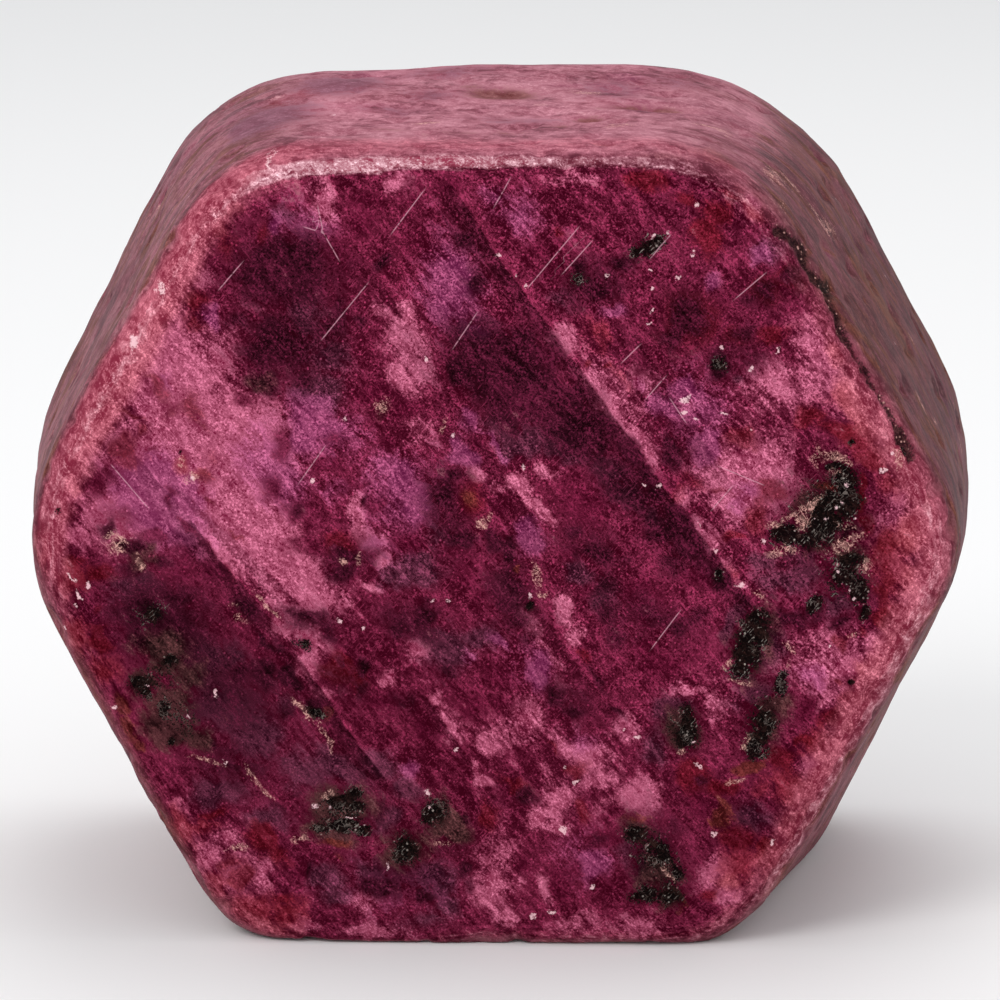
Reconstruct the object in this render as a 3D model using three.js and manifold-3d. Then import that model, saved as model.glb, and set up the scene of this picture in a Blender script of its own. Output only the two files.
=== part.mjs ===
// A raw ruby crystal: one worn, six-sided prism, lying on one of its side faces.
// Millimetres, +Z up. The crystal's own axis runs along Y, with its best flat end at -Y.
// The origin is on the resting plane, under the middle of the bounding box.

import * as THREE from 'three';
import { mergeVertices } from 'three/addons/utils/BufferGeometryUtils.js';
import { ImprovedNoise } from 'three/addons/math/ImprovedNoise.js';
import Module from 'manifold-3d';

// Along the axis: the flat front end, the widest section and the flat back end.
const frontY = -8;
const widestY = 4;
const backY = 8;

// The axis stands this high over the resting plane.
const axisHeight = 12.4;

// Worn round edges of the two ends, and how far the sides draw in behind the widest section.
const frontEdgeRadius = 1.15;
const backEdgeRadius = 2.2;
const backDrawIn = 0.5;

// The six sides, anticlockwise from the upper right as seen from the front. Each gives the
// direction it looks in (degrees from +X towards +Z), its distance from the axis and the
// radius of the worn corner after it, all at the front end and then at the widest section.
const sides = [
  { name: 'upper right', looks: [30.6, 27.6], distance: [12.63, 14.45], corner: [5.0, 7.8] },
  { name: 'top', looks: [90.9, 90.7], distance: [11.75, 12.97], corner: [4.6, 5.4] },
  { name: 'upper left', looks: [150.3, 152.3], distance: [12.58, 13.95], corner: [6.2, 5.7] },
  { name: 'lower left', looks: [207.3, 207.5], distance: [12.69, 14.13], corner: [3.9, 5.0] },
  { name: 'underside', looks: [270, 270], distance: [12.86, 13.36], corner: [4.6, 3.3] },
  { name: 'lower right', looks: [331.9, 334.0], distance: [12.81, 15.1], corner: [3.3, 10.0] },
];

// Steps of the surface: round one corner, along one side, across one end, over one worn edge
// and along the body.
const cornerSteps = 6;
const sideSteps = 6;
const endSteps = 6;
const edgeSteps = 5;
const bodySteps = 9;

// Slow unevenness left by growth and wear: on the sides, and a gentler one on the two ends.
const waveLength = 7;
const sideWave = 0.14;
const endWave = 0.1;

const quarterTurn = Math.PI / 2;
const fullTurn = Math.PI * 2;
const noise = new ImprovedNoise();

// A pair's value at y: it changes evenly from the front end to the widest section.
function along(pair, y) {
  const share = Math.min(1, (y - frontY) / (widestY - frontY));
  return THREE.MathUtils.lerp(pair[0], pair[1], share);
}

// The six sides' lines at y, all moved in by inset.
function sideLines(y, inset) {
  const behind = Math.max(0, (y - widestY) / (backY - widestY));
  const drawIn = inset + backDrawIn * behind ** 2;
  return sides.map((side) => {
    const angle = THREE.MathUtils.degToRad(along(side.looks, y));
    return {
      angle,
      normal: new THREE.Vector2(Math.cos(angle), Math.sin(angle)),
      distance: along(side.distance, y) - drawIn,
      radius: along(side.corner, y) - inset,
    };
  });
}

// The worn corner between two lines: an arc about the point that is its radius inside both.
function cornerBetween(line, next) {
  const a = line.distance - line.radius;
  const b = next.distance - line.radius;
  const sine = line.normal.cross(next.normal);
  return {
    radius: line.radius,
    start: line.angle,
    turn: (next.angle - line.angle + fullTurn) % fullTurn,
    centre: new THREE.Vector2(
      (a * next.normal.y - b * line.normal.y) / sine,
      (b * line.normal.x - a * next.normal.x) / sine,
    ),
  };
}

function pointOn(corner, share) {
  const angle = corner.start + corner.turn * share;
  return new THREE.Vector2(Math.cos(angle), Math.sin(angle))
    .multiplyScalar(corner.radius)
    .add(corner.centre);
}

// The closed outline at y: each corner's arc, and the straight stretch to the next one.
function outline(y, inset) {
  const lines = sideLines(y, inset);
  const corners = lines.map((line, k) => cornerBetween(line, lines[(k + 1) % lines.length]));
  return corners.flatMap((corner, k) => {
    const end = pointOn(corner, 1);
    const nextStart = pointOn(corners[(k + 1) % corners.length], 0);
    const points = [];
    for (let step = 0; step < cornerSteps; step += 1) {
      points.push(pointOn(corner, step / cornerSteps));
    }
    for (let step = 0; step < sideSteps; step += 1) {
      points.push(end.clone().lerp(nextStart, step / sideSteps));
    }
    return points;
  });
}

// One flat end, from its middle outwards: rings that take a growing share of the outline.
function endRings(y, inset) {
  return Array.from({ length: endSteps }, (_, step) => {
    return { y, inset, share: Math.sqrt(step / endSteps) };
  });
}

// The rings from the middle of the front end, over the body, to the middle of the back end.
function allRings() {
  const bodyStart = frontY + frontEdgeRadius;
  const bodyEnd = backY - backEdgeRadius;
  const rings = endRings(frontY, frontEdgeRadius);
  for (let step = 0; step < edgeSteps; step += 1) {
    const angle = (quarterTurn * step) / edgeSteps;
    rings.push({
      y: bodyStart - frontEdgeRadius * Math.cos(angle),
      inset: frontEdgeRadius * (1 - Math.sin(angle)),
      share: 1,
    });
  }
  for (let step = 0; step < bodySteps; step += 1) {
    const y = THREE.MathUtils.lerp(bodyStart, bodyEnd, step / bodySteps);
    rings.push({ y, inset: 0, share: 1 });
  }
  for (let step = 0; step <= edgeSteps; step += 1) {
    const angle = (quarterTurn * step) / edgeSteps;
    rings.push({
      y: bodyEnd + backEdgeRadius * Math.sin(angle),
      inset: backEdgeRadius * (1 - Math.cos(angle)),
      share: 1,
    });
  }
  return rings.concat(endRings(backY, backEdgeRadius).reverse());
}

// Moves a point in or out from the axis on the sides, and to or fro along it on the ends.
function wear(point, share) {
  const outward = new THREE.Vector3(point.x, 0, point.z).normalize();
  const { x, y, z } = point.clone().divideScalar(waveLength);
  point.addScaledVector(outward, sideWave * share * noise.noise(x, y, z));
  point.y += endWave * (1 - share) * noise.noise(z, x, y);
  return point;
}

// A lathed body gives the closed surface, and each of its points moves to its outline.
function wornPrism() {
  const rings = allRings();
  const outlines = rings.map((ring) => outline(ring.y, ring.inset));
  const around = outlines[0].length;
  const profile = rings.map((ring) => new THREE.Vector2(ring.share, ring.y));
  const geometry = new THREE.LatheGeometry(profile, around);
  const position = geometry.attributes.position;
  for (let index = 0; index < position.count; index += 1) {
    const { y, share } = rings[index % rings.length];
    const turn = Math.floor(index / rings.length);
    const flat = outlines[index % rings.length][(2 * around - turn) % around];
    const point = wear(new THREE.Vector3(flat.x * share, y, flat.y * share), share);
    position.setXYZ(index, point.x, point.y, point.z + axisHeight);
  }
  return geometry;
}

function solidOf(wasm, geometry) {
  const bare = geometry.clone();
  bare.deleteAttribute('normal');
  bare.deleteAttribute('uv');
  const merged = mergeVertices(bare);
  return new wasm.Manifold(new wasm.Mesh({
    numProp: 3,
    vertProperties: Float32Array.from(merged.attributes.position.array),
    triVerts: Uint32Array.from(merged.index.array),
  }));
}

function geometryOf(solid) {
  const { vertProperties, triVerts } = solid.getMesh();
  const geometry = new THREE.BufferGeometry();
  geometry.setAttribute('position', new THREE.BufferAttribute(vertProperties, 3));
  geometry.setIndex(new THREE.BufferAttribute(triVerts, 1));
  geometry.computeVertexNormals();
  return geometry;
}

// The flat that the crystal rests on: all that is under the resting plane comes off.
function cutFlat(wasm, geometry) {
  const size = 4 * axisHeight;
  const below = new THREE.BoxGeometry(size, size, size);
  below.translate(0, 0, -size / 2);
  return geometryOf(solidOf(wasm, geometry).subtract(solidOf(wasm, below)));
}

const wasm = await Module();
wasm.setup();

const crystalShape = cutFlat(wasm, wornPrism());
crystalShape.computeBoundingBox();
const middle = crystalShape.boundingBox.getCenter(new THREE.Vector3());
crystalShape.translate(-middle.x, -middle.y, 0);

const rubyMaterial = new THREE.MeshStandardMaterial({
  color: 0x7a2340,
  roughness: 0.45,
  metalness: 0,
});
const crystal = new THREE.Mesh(crystalShape, rubyMaterial);
crystal.name = 'ruby_crystal';

const group = new THREE.Group();
group.add(crystal);

export default group;
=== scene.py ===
import math
import random

import bmesh
import bpy
import numpy as np
from mathutils import Matrix, Vector, kdtree, noise


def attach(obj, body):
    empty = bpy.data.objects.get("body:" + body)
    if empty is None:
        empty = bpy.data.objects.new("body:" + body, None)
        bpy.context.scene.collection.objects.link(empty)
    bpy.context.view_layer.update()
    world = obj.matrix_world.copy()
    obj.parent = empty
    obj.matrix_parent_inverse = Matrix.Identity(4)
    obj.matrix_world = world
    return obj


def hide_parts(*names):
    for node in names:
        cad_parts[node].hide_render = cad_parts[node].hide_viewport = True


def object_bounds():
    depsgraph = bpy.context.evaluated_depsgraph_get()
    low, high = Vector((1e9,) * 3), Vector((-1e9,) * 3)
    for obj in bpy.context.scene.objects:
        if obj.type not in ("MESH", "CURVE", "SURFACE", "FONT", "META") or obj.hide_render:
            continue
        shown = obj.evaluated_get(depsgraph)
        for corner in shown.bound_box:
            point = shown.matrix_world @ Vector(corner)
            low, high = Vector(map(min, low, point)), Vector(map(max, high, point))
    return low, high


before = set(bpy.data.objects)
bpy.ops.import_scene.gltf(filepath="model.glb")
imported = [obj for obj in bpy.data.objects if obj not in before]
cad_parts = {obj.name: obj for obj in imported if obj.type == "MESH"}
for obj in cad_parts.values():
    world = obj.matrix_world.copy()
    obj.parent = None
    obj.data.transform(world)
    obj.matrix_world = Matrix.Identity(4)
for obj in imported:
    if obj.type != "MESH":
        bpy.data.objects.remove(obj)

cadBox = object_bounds()
mm = 0.001

# camera, floor and light

view = {
    "aimAt": (0.34, -8.0, 13.87),    # mm, on the flat front end
    "fromRight": 2.0,                # degrees round the stone
    "fromAbove": 12.0,
    "distance": 123.8,               # mm
    "lens": 150.0,
}
studio = {
    "floorTone": (0.9, 0.895, 0.89),
    "roomTone": (0.97, 0.98, 1.0),
    "roomLight": 0.8,
    "lampsLookAt": (0, 0, 12),       # mm
    # name, place in mm, width in mm, power
    "softboxes": [("keySoftbox", (-150, -190, 230), 150, 0.3), ("topSoftbox", (40, 60, 300), 200, 0.2)],
    "floorHalf": 1.5,                # m
    "floorGap": 0.02,                # mm under the stone
}


def addCamera():
    across, up = math.radians(view["fromRight"]), math.radians(view["fromAbove"])
    away = Vector((math.sin(across) * math.cos(up), -math.cos(across) * math.cos(up), math.sin(up)))
    lens = bpy.data.cameras.new("stoneCamera")
    lens.lens = view["lens"]
    lens.sensor_width = 36
    lens.clip_start = 0.005
    camera = bpy.data.objects.new("stoneCamera", lens)
    camera.location = (Vector(view["aimAt"]) + away * view["distance"]) * mm
    camera.rotation_euler = (-away).to_track_quat("-Z", "Y").to_euler()
    bpy.context.scene.collection.objects.link(camera)
    bpy.context.scene.camera = camera


def addSoftbox(name, place, size, power):
    light = bpy.data.lights.new(name, "AREA")
    light.shape = "DISK"
    light.size = size * mm
    light.energy = power
    lamp = bpy.data.objects.new(name, light)
    lamp.location = Vector(place) * mm
    away = Vector(place) - Vector(studio["lampsLookAt"])
    lamp.rotation_euler = away.to_track_quat("Z", "Y").to_euler()
    bpy.context.scene.collection.objects.link(lamp)


def addStudio():
    world = bpy.data.worlds.new("paleRoom")
    world.use_nodes = True
    background = world.node_tree.nodes["Background"]
    background.inputs["Color"].default_value = (*studio["roomTone"], 1)
    background.inputs["Strength"].default_value = studio["roomLight"]
    bpy.context.scene.world = world
    bpy.context.scene.view_settings.view_transform = "Standard"
    for softbox in studio["softboxes"]:
        addSoftbox(*softbox)


def addFloor():
    bm = bmesh.new()
    bmesh.ops.create_grid(bm, x_segments=1, y_segments=1, size=studio["floorHalf"])
    mesh = bpy.data.meshes.new("floor")
    bm.to_mesh(mesh)
    bm.free()
    mesh.transform(Matrix.Translation((0, 0, -studio["floorGap"] * mm)))
    floor = bpy.data.objects.new("floor", mesh)
    bpy.context.scene.collection.objects.link(floor)
    paper = bpy.data.materials.new("palePaper")
    paper.use_nodes = True
    surface = paper.node_tree.nodes["Principled BSDF"]
    surface.inputs["Base Color"].default_value = (*studio["floorTone"], 1)
    surface.inputs["Roughness"].default_value = 0.9
    mesh.materials.append(paper)


addCamera()
addStudio()
addFloor()
print("stage and light ready")

# what marks the stone, all in mm. Ovals on the front end: across, up, half width, half height,
# turn in degrees (from +X towards +Z), strength; a short one is round, unturned or full strength.
# An oval's outline is where its strength halves
marks = {
    "plum": [
        (-5, 17.2, 0.8, 0.5, 0, 0.9), (-5.4, 19.5, 0.5, 0.6, 0, 0.8), (-4.6, 18.2, 0.7, 0.6, -30, 0.7),
        (1.1, 17.6, 0.4, 0.3, 0, 0.8), (1, 15.6, 0.9, 0.5), (2.2, 15.8, 0.6, 0.5),
        (2.6, 15.1, 0.5, 0.25, 0, 0.8), (0.2, 16.1, 0.5, 0.5, -30, 0.7), (3.6, 14.8, 0.4, 0.4, 0, 0.9),
        (4.1, 14.1, 0.6, 0.5, -30, 0.9), (4.9, 13.4, 0.5, 0.25, -45, 0.9), (-2, 11.8, 0.8, 0.5),
        (-2.8, 11.5, 0.6, 0.4, 0, 0.8), (-1.5, 12.7, 0.5, 0.4, 0, 0.7), (2.5, 11.6, 0.5, 0.3, 0, 0.9),
        (3.4, 10.9, 0.5, 0.5, 0, 0.7), (-10.6, 11.1, 0.7, 0.4, 0, 0.9), (-10.6, 13.4, 0.6, 0.35, 0, 0.6),
        (-8.5, 9, 0.7, 0.5, -30, 0.9), (-7.6, 9.1, 0.4, 0.3, -30, 0.8), (-8, 7.4, 1.1, 0.8, -30, 0.9),
        (-8.6, 8.2, 0.6, 0.4, 0, 0.7), (-7, 6.7, 1, 0.8, -40, 0.9), (-8.2, 4.8, 0.9, 0.5, 0, 0.9),
        (-6.6, 4, 0.8, 0.4, 0, 0.8), (-5.6, 5.4, 0.8, 0.6, -40, 0.8), (-4.5, 5.6, 0.9, 0.4, -30),
        (-3.3, 5.7, 0.7, 0.4, -30, 0.8), (-2.6, 4.9, 0.5, 0.4, 0, 0.8), (-3, 3.9, 0.5, 0.5, 0, 0.8),
        (-1.2, 9.3, 0.7, 0.7, 0, 0.9), (-0.2, 9.6, 0.6, 0.4, 0, 0.8), (-5, 2.2, 0.6, 0.5, 0, 0.8),
        (-4.6, 1.6, 0.5, 0.3, 0, 0.8), (-3.6, 2.4, 0.6, 0.4, 0, 0.8), (-1.6, 2.1, 0.6, 0.5, 0, 0.9),
        (-1.2, 1.3, 0.5, 0.4, 0, 0.8), (-1.9, 0.7, 1, 0.4, 0, 0.6), (9.2, 11.5, 0.7, 0.5),
        (8.5, 11.5, 0.6, 0.5, 0, 0.8), (8.2, 12.2, 0.5, 0.3, 0, 0.8), (9.4, 12.2, 0.5, 0.3, 0, 0.9),
        (10.4, 10.7, 0.5, 0.3), (7.3, 10.1, 0.25, 0.6), (8.4, 9.4, 0.5, 0.6, 0, 0.8),
        (8, 8.2, 0.5, 0.5, 0, 0.8), (7.4, 7.8, 0.5, 0.5, 0, 0.6), (5.6, 7.5, 0.6, 0.5),
        (5, 6.4, 0.5, 0.6, 0, 0.8), (5, 2.6, 0.6, 0.5, 0, 0.9), (4, 3, 0.4, 0.5, 0, 0.7),
        (8, 4.2, 0.6, 0.45, 0, 0.9), (7.5, 17.6, 0.3, 0.3, 0, 0.7), (-6.2, 7.6, 0.4, 0.5, 0, 0.6),
        (8.2, 21.5, 0.6, 0.4, 0, 0.7), (-6, 22.5, 0.5, 0.3, 0, 0.6), (2.2, 19.9, 0.5, 0.4, 0, 0.6),
    ],
    "pink": [
        (-5.9, 10.2, 2.3, 0.3, -53, 0.8), (1.3, 10, 2.2, 0.25, -60, 0.6), (-0.6, 6.6, 1.8, 0.3, -50, 0.35),
        (-9.3, 17.3, 1.9, 2, 0, 0.8), (-8.3, 15.3, 2.1, 1.9, -20, 1.1), (-9.6, 14.3, 1.9, 1.2, -30, 1.2),
        (-7.4, 13.3, 1.8, 1.1, -50, 1.2), (-11, 13.2, 1, 0.8, -30), (-5.8, 11.5, 1.7, 0.7, -40, 0.9),
        (-2.4, 18.4, 1.5, 0.9, -60, 0.35), (3.8, 17, 1.8, 0.7, -52, 0.6), (7.7, 14.6, 1.4, 1.3, 0, 0.95),
        (8.7, 17.2, 1.3, 1.1, 0, 0.5), (9.8, 18, 0.8, 1.5, 25, 0.6), (2.6, 5.5, 1.7, 1.3, -20, 0.35),
        (10.3, 9, 1.5, 1.1, 0, 0.6), (12.2, 13, 0.8, 2.4, 0, 0.5), (-8, 2.3, 1.5, 1.3, -20, 0.5),
        (-10.2, 19, 1.2, 1.6, 0, 0.5), (0.2, 2.4, 0.9, 1.4, 0, 0.5), (-9.4, 18.2, 1, 0.9, -20, 0.7),
        (-8, 18.1, 0.5, 0.35, 0, 0.8), (-8.8, 17.5, 0.8, 0.5, -30, 0.7), (-10, 16.5, 0.6, 0.35, -25),
        (-9.45, 17, 0.5, 0.13, -45), (-7.85, 16.6, 0.35, 0.12, -60, 0.9), (-7.7, 16.1, 0.7, 0.5, -30, 0.8),
        (-8, 15.5, 0.9, 0.6, 0, 0.75), (-7, 15.4, 0.8, 0.8, 0, 0.7), (-9.6, 14.9, 0.7, 0.4, -30, 0.8),
        (-9.5, 14.4, 0.5, 0.35, -20), (-9.05, 13.6, 0.6, 0.15, -50, 0.95), (-7.6, 13.9, 0.9, 0.7, -30, 0.8),
        (-7.5, 13.2, 0.6, 0.3, -50, 0.8), (-7.8, 12.7, 0.4, 0.3, 0, 0.8), (-7, 12.5, 0.6, 0.5, -50, 0.8),
        (-6.4, 11.7, 0.9, 0.4, -35), (-5.5, 11.3, 0.5, 0.35, -20, 0.9), (-5, 10.9, 0.5, 0.3, 0, 0.7),
        (-4.4, 10.5, 0.4, 0.3, 0, 0.6), (-11.3, 15.2, 0.5, 0.4, 0, 0.6), (-12.6, 13.9, 0.35, 0.25, 0, 0.8),
        (-12.3, 12.7, 0.6, 0.5, 0, 0.6), (-2.6, 17.5, 0.5, 0.4, -30, 0.9), (-1.9, 17.8, 0.3, 0.3, 0, 0.9),
        (-2.5, 19.3, 0.3, 0.5, 0, 0.9), (-2.4, 18.6, 0.7, 0.5, -50, 0.8), (-3.3, 19.6, 0.3, 0.3, 0, 0.7),
        (-4.9, 22.8, 0.4, 0.5, 0, 0.9), (-2.7, 23.3, 0.4, 0.3, 0, 0.9), (-3.9, 13.4, 0.3, 0.6, 10, 0.85),
        (-3.4, 12.6, 0.4, 0.35, -50, 0.7), (-0.4, 14.6, 0.25, 0.2, 0, 0.9), (0.2, 14.2, 0.2, 0.2, 0, 0.8),
        (0.9, 14.4, 0.35, 0.2, -30), (1.4, 13.7, 0.45, 0.17, -55), (1.8, 13.2, 0.3, 0.15, -50, 0.9),
        (1.8, 14.7, 0.4, 0.3, 0, 0.7), (3, 17.4, 0.3, 0.3, 0, 0.8), (3.5, 16.8, 0.5, 0.25, -50),
        (4.3, 16.1, 0.35, 0.25, -50), (4.8, 15.3, 0.5, 0.2, -60, 0.8), (5.9, 13.8, 0.35, 0.25, -50, 0.8),
        (6.3, 13.1, 0.25, 0.12, -45), (6.8, 12.7, 0.5, 0.25, -50, 0.8), (7.2, 12, 0.4, 0.3, -50, 0.6),
        (7.5, 11.4, 0.3, 0.2, -30, 0.9), (4.4, 17.5, 0.5, 0.35, 0, 0.8), (5.8, 16.8, 0.3, 0.3, 0, 0.7),
        (7.6, 15, 0.7, 0.5), (8, 15.5, 0.5, 0.3, 20, 0.7), (7.6, 14.2, 0.5, 0.5, 0, 0.9),
        (7.3, 13.5, 0.45, 0.4, 0, 0.9), (8.2, 15, 0.5, 0.4, 0, 0.8), (6.7, 13.7, 0.4, 0.3, 0, 0.7),
        (2.2, 18.8, 0.4, 0.4, 0, 0.9), (3.5, 17.1, 0.3, 0.3, 0, 0.7), (8.5, 17.3, 0.45, 0.5, 0, 0.9),
        (8.9, 16.9, 0.4, 0.4, 0, 0.6), (9.5, 18.5, 0.5, 0.45), (9.9, 17.8, 0.5, 0.5, 0, 0.6),
        (7.6, 22.6, 0.4, 0.3, -30, 0.7), (-1.6, 7.8, 0.25, 0.2, 0, 0.8), (-1.2, 6.9, 0.5, 0.12, -55),
        (-0.2, 5.3, 0.6, 0.12, -52), (-0.1, 6.4, 0.7, 0.5, 0, 0.6), (1, 7, 0.6, 0.7, 0, 0.7),
        (2.3, 6.2, 0.5, 0.3, -50, 0.8), (3, 6, 0.6, 0.5, 0, 0.8), (3.2, 5.3, 0.5, 0.3, 0, 0.7),
        (4.1, 7, 0.3, 0.4, -40, 0.8), (4.5, 4.8, 0.6, 0.5, 0, 0.8), (3.6, 4.6, 0.4, 0.3, 0, 0.5),
        (2.1, 4.6, 0.45, 0.5, 0, 0.9), (1.5, 4, 0.5, 0.35, 0, 0.9), (2.2, 3.7, 0.3, 0.2),
        (0.1, 1.9, 0.35, 0.6, 10), (0.4, 0.9, 0.5, 0.4, 0, 0.7), (1.7, 1.8, 0.2, 0.35, 20, 0.7),
        (2.8, 0.8, 0.7, 0.4, 0, 0.5), (4.7, 0.7, 0.8, 0.4, 0, 0.6), (6.8, 2.5, 0.5, 0.6, 0, 0.7),
        (7.4, 1.7, 0.4, 0.4, 0, 0.8), (6.1, 8.2, 0.45, 0.15, 0, 0.8), (6.8, 7.6, 0.3, 0.7, 10, 0.6),
        (9.75, 8.5, 0.4, 0.5, 0, 0.9), (10, 7.7, 0.35, 0.3, 0, 0.8), (10.7, 9, 0.6, 0.35, 0, 0.9),
        (11.5, 9.3, 0.4, 0.5, 0, 0.8), (9.8, 5.7, 0.4, 0.4, 0, 0.7), (12.2, 14.2, 0.4, 0.3, 0, 0.7),
        (12.1, 13.6, 0.4, 0.3, 0, 0.5), (12.2, 11.8, 0.35, 0.5, 0, 0.8), (12.7, 11.3, 0.3, 0.5, 0, 0.8),
        (2.3, 10.5, 0.25, 0.5, 20, 0.8), (2.7, 9.7, 0.25, 0.3, -30, 0.7), (-5.4, 8.7, 0.4, 0.35, 20),
        (-5, 7.9, 0.35, 0.25, -40, 0.9), (-6.2, 9.8, 0.4, 0.2, -50, 0.8), (-3, 8.3, 0.25, 0.3, 0, 0.7),
        (-2.1, 9.2, 0.25, 0.25, 0, 0.7), (-8.5, 2.6, 0.5, 0.5, 0, 0.7), (-7.9, 3.2, 0.4, 0.25, 0, 0.9),
        (-6.9, 2.2, 0.3, 0.55, 0, 0.8), (-5.6, 0.6, 0.45, 0.2, 0, 0.9), (-3.5, 0.4, 0.9, 0.3, 0, 0.7),
        (-3.8, 1.4, 0.4, 0.3, 0, 0.6), (-9.3, 4.3, 0.5, 0.5, 0, 0.5), (-3.25, 11.95, 0.28, 0.2, -10),
        (-3.5, 11.1, 0.3, 0.15, 0, 0.9), (-8.3, 20.5, 0.3, 0.6, -20, 0.5), (-7, 19.7, 0.5, 0.2, -30, 0.4),
        (-2, 15.9, 0.5, 0.5, 0, 0.5), (2.6, 23.4, 0.7, 0.3, 0, 0.5),
    ],
    "violet": [
        (-9.8, 13.6, 1.6, 0.5, -50), (-9.9, 13.9, 1.5, 1, -35, 1.2), (-6.4, 14.6, 1.3, 0.9, -40, 0.7),
        (-2.6, 14, 1.2, 1.4, 10, 0.65), (-5, 15.9, 1.4, 0.9, 0, 0.6), (-1, 20.3, 1, 1.6, 15, 0.65),
        (0.8, 22.5, 1.2, 0.7, -20, 0.5), (6, 16.6, 1.2, 1.2, -40, 0.5), (-3, 12.4, 1, 1, 0, 0.4),
        (1.3, 9, 0.9, 0.9, 0, 0.4), (-2.6, 1.9, 1.8, 0.8, 0, 0.4), (2.8, 2.9, 1, 0.9, 0, 0.4),
        (-5.4, 22, 1.2, 0.7, 0, 0.5), (-10.1, 14.3, 0.5, 0.35, -40), (-9.6, 13.5, 0.4, 0.55, 20),
        (-9.2, 12.9, 0.35, 0.35, 0, 0.9), (-10.6, 13.6, 0.5, 0.4, 0, 0.6), (-9.7, 17.3, 0.3, 0.2, -20, 0.6),
        (-8.1, 19.35, 0.35, 0.2, -50, 0.9), (-6.3, 22.1, 0.25, 0.35, 0, 0.9),
        (-6.9, 15.5, 0.6, 0.7, 0, 0.5), (-5.3, 16.5, 0.7, 0.6, -20, 0.9), (-5.6, 15.8, 0.5),
        (-4.7, 16.1, 0.5, 0.4, 0, 0.8), (-2.6, 14.5, 0.5), (-2.1, 13.7, 0.4, 0.6),
        (-3.2, 14.8, 0.5, 0.3, 0, 0.6), (-4.6, 14.1, 0.6, 0.35, 0, 0.5), (-3.4, 12.5, 0.4, 0.3, -40, 0.6),
        (-0.9, 20.6, 0.5, 0.6), (-1.4, 19.6, 0.5, 0.7, 20, 0.8), (0.9, 22.4, 0.5, 0.4, 0, 0.65),
        (0.3, 23, 0.6, 0.3, 0, 0.6), (-0.5, 18.9, 0.4, 0.35, 0, 0.7), (5.8, 17.3, 0.5, 0.3, 0, 0.9),
        (4.4, 17.4, 0.35, 0.25, 0, 0.6), (5.2, 16.8, 0.5, 0.4, -20, 0.8), (8, 21.4, 0.35, 0.3, 0, 0.8),
        (3.6, 19.6, 0.4, 0.3, 0, 0.8), (6.65, 20.6, 0.25, 0.25, 0, 0.9), (6.4, 15.5, 0.35, 0.5, -20, 0.9),
        (6.7, 15.8, 0.25, 0.2, -40, 0.8), (7.5, 14.1, 0.4, 0.4, 0, 0.6), (7.3, 13.6, 0.3, 0.3, 0, 0.6),
        (1.15, 12.8, 0.4, 0.5, 0, 0.9), (1.4, 8.6, 0.4, 0.55), (0.4, 9.5, 0.35, 0.15, -45, 0.8),
        (-0.7, 9, 0.25, 0.3, 0, 0.6), (3.1, 2.6, 0.5, 0.5, 0, 0.9), (2.9, 6.5, 0.7, 0.4, 0, 0.5),
        (9.7, 8.5, 0.35, 0.4, 0, 0.7), (-0.8, 15.3, 0.45, 0.22, -50), (-0.6, 16.3, 0.3, 0.4, 0, 0.8),
        (-2.4, 5.7, 0.35, 0.3, -50, 0.7), (0.2, 15.5, 0.6, 0.1, -42, 0.9), (-4.6, 15, 0.3, 0.1, 50, 0.6),
    ],
    "red": [
        (12, 11.9, 0.6, 0.8, 20, 0.9), (12.2, 9.4, 0.5, 0.9, -25, 0.8), (11.3, 8.6, 0.7, 0.5, 0, 0.7),
        (11, 15.9, 0.6, 0.5, 0, 0.9), (11.4, 15.2, 0.5, 0.4, 0, 0.8), (12.2, 10.4, 0.5, 0.6, 0, 0.9),
        (12, 14.6, 0.5, 0.5, 0, 0.7), (12.3, 12.6, 0.5, 0.7, 0, 0.7), (11, 7.8, 0.5, 0.4, 0, 0.8),
        (10, 6.3, 0.7, 0.5, 0, 0.8), (9.3, 5.1, 0.8, 0.5, 0, 0.8), (8.5, 2.8, 0.6, 0.6, 30, 0.8),
        (9, 3.9, 0.3, 0.5, 20, 0.7), (-12.6, 11.3, 0.4, 0.4, 0, 0.8), (-12.4, 9.8, 0.5, 0.6, 0, 0.7),
        (-11.6, 8.6, 0.5, 0.5, 0, 0.7), (-9.5, 3.6, 0.5, 0.7, 0, 0.7), (-7.3, 1, 0.9, 0.6, 0, 0.8),
        (-6.2, 0.8, 0.8, 0.5, 0, 0.7), (-8.3, 1.8, 0.5, 0.5, 0, 0.7), (7.4, 2.6, 0.7, 0.7, 0, 0.7),
        (8.2, 5, 0.4, 0.4, 0, 0.5), (5.7, 13.9, 0.4, 0.3, -50, 0.6), (3.9, 17.5, 0.8, 0.4, -50, 0.5),
        (3.2, 18.9, 0.8, 0.4, -50, 0.6), (7.3, 11.7, 0.5, 0.3, -50, 0.6), (-8, 22.2, 0.4, 0.5, 0, 0.8),
        (-10.8, 15, 0.6, 0.4, 0, 0.7), (-8.3, 15, 0.5, 0.3, -40, 0.5), (-12.5, 14.3, 0.2, 0.4, 0, 0.7),
        (-8.6, 3.6, 0.5, 0.4, 0, 0.6), (10.2, 17, 0.5, 0.3, 0, 0.5), (7, 23, 0.5, 0.3, -20, 0.5),
    ],
    "salmon": [
        (-8.4, 23.3, 0.9, 0.5, 60), (-9.2, 21.5, 1.2, 0.45, 66), (-10, 19.6, 1.1, 0.5, 64),
        (-10.9, 17.8, 1, 0.5, 62), (-11.7, 16.2, 0.9, 0.45, 62, 0.9), (-12.4, 15.1, 0.6, 0.25, 65, 0.8),
        (-13.3, 12.2, 0.6, 0.15, 88, 0.9), (-7.4, 23.6, 0.6, 0.35), (-9.1, 14.85, 0.25, 0.35, 0, 0.8),
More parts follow.
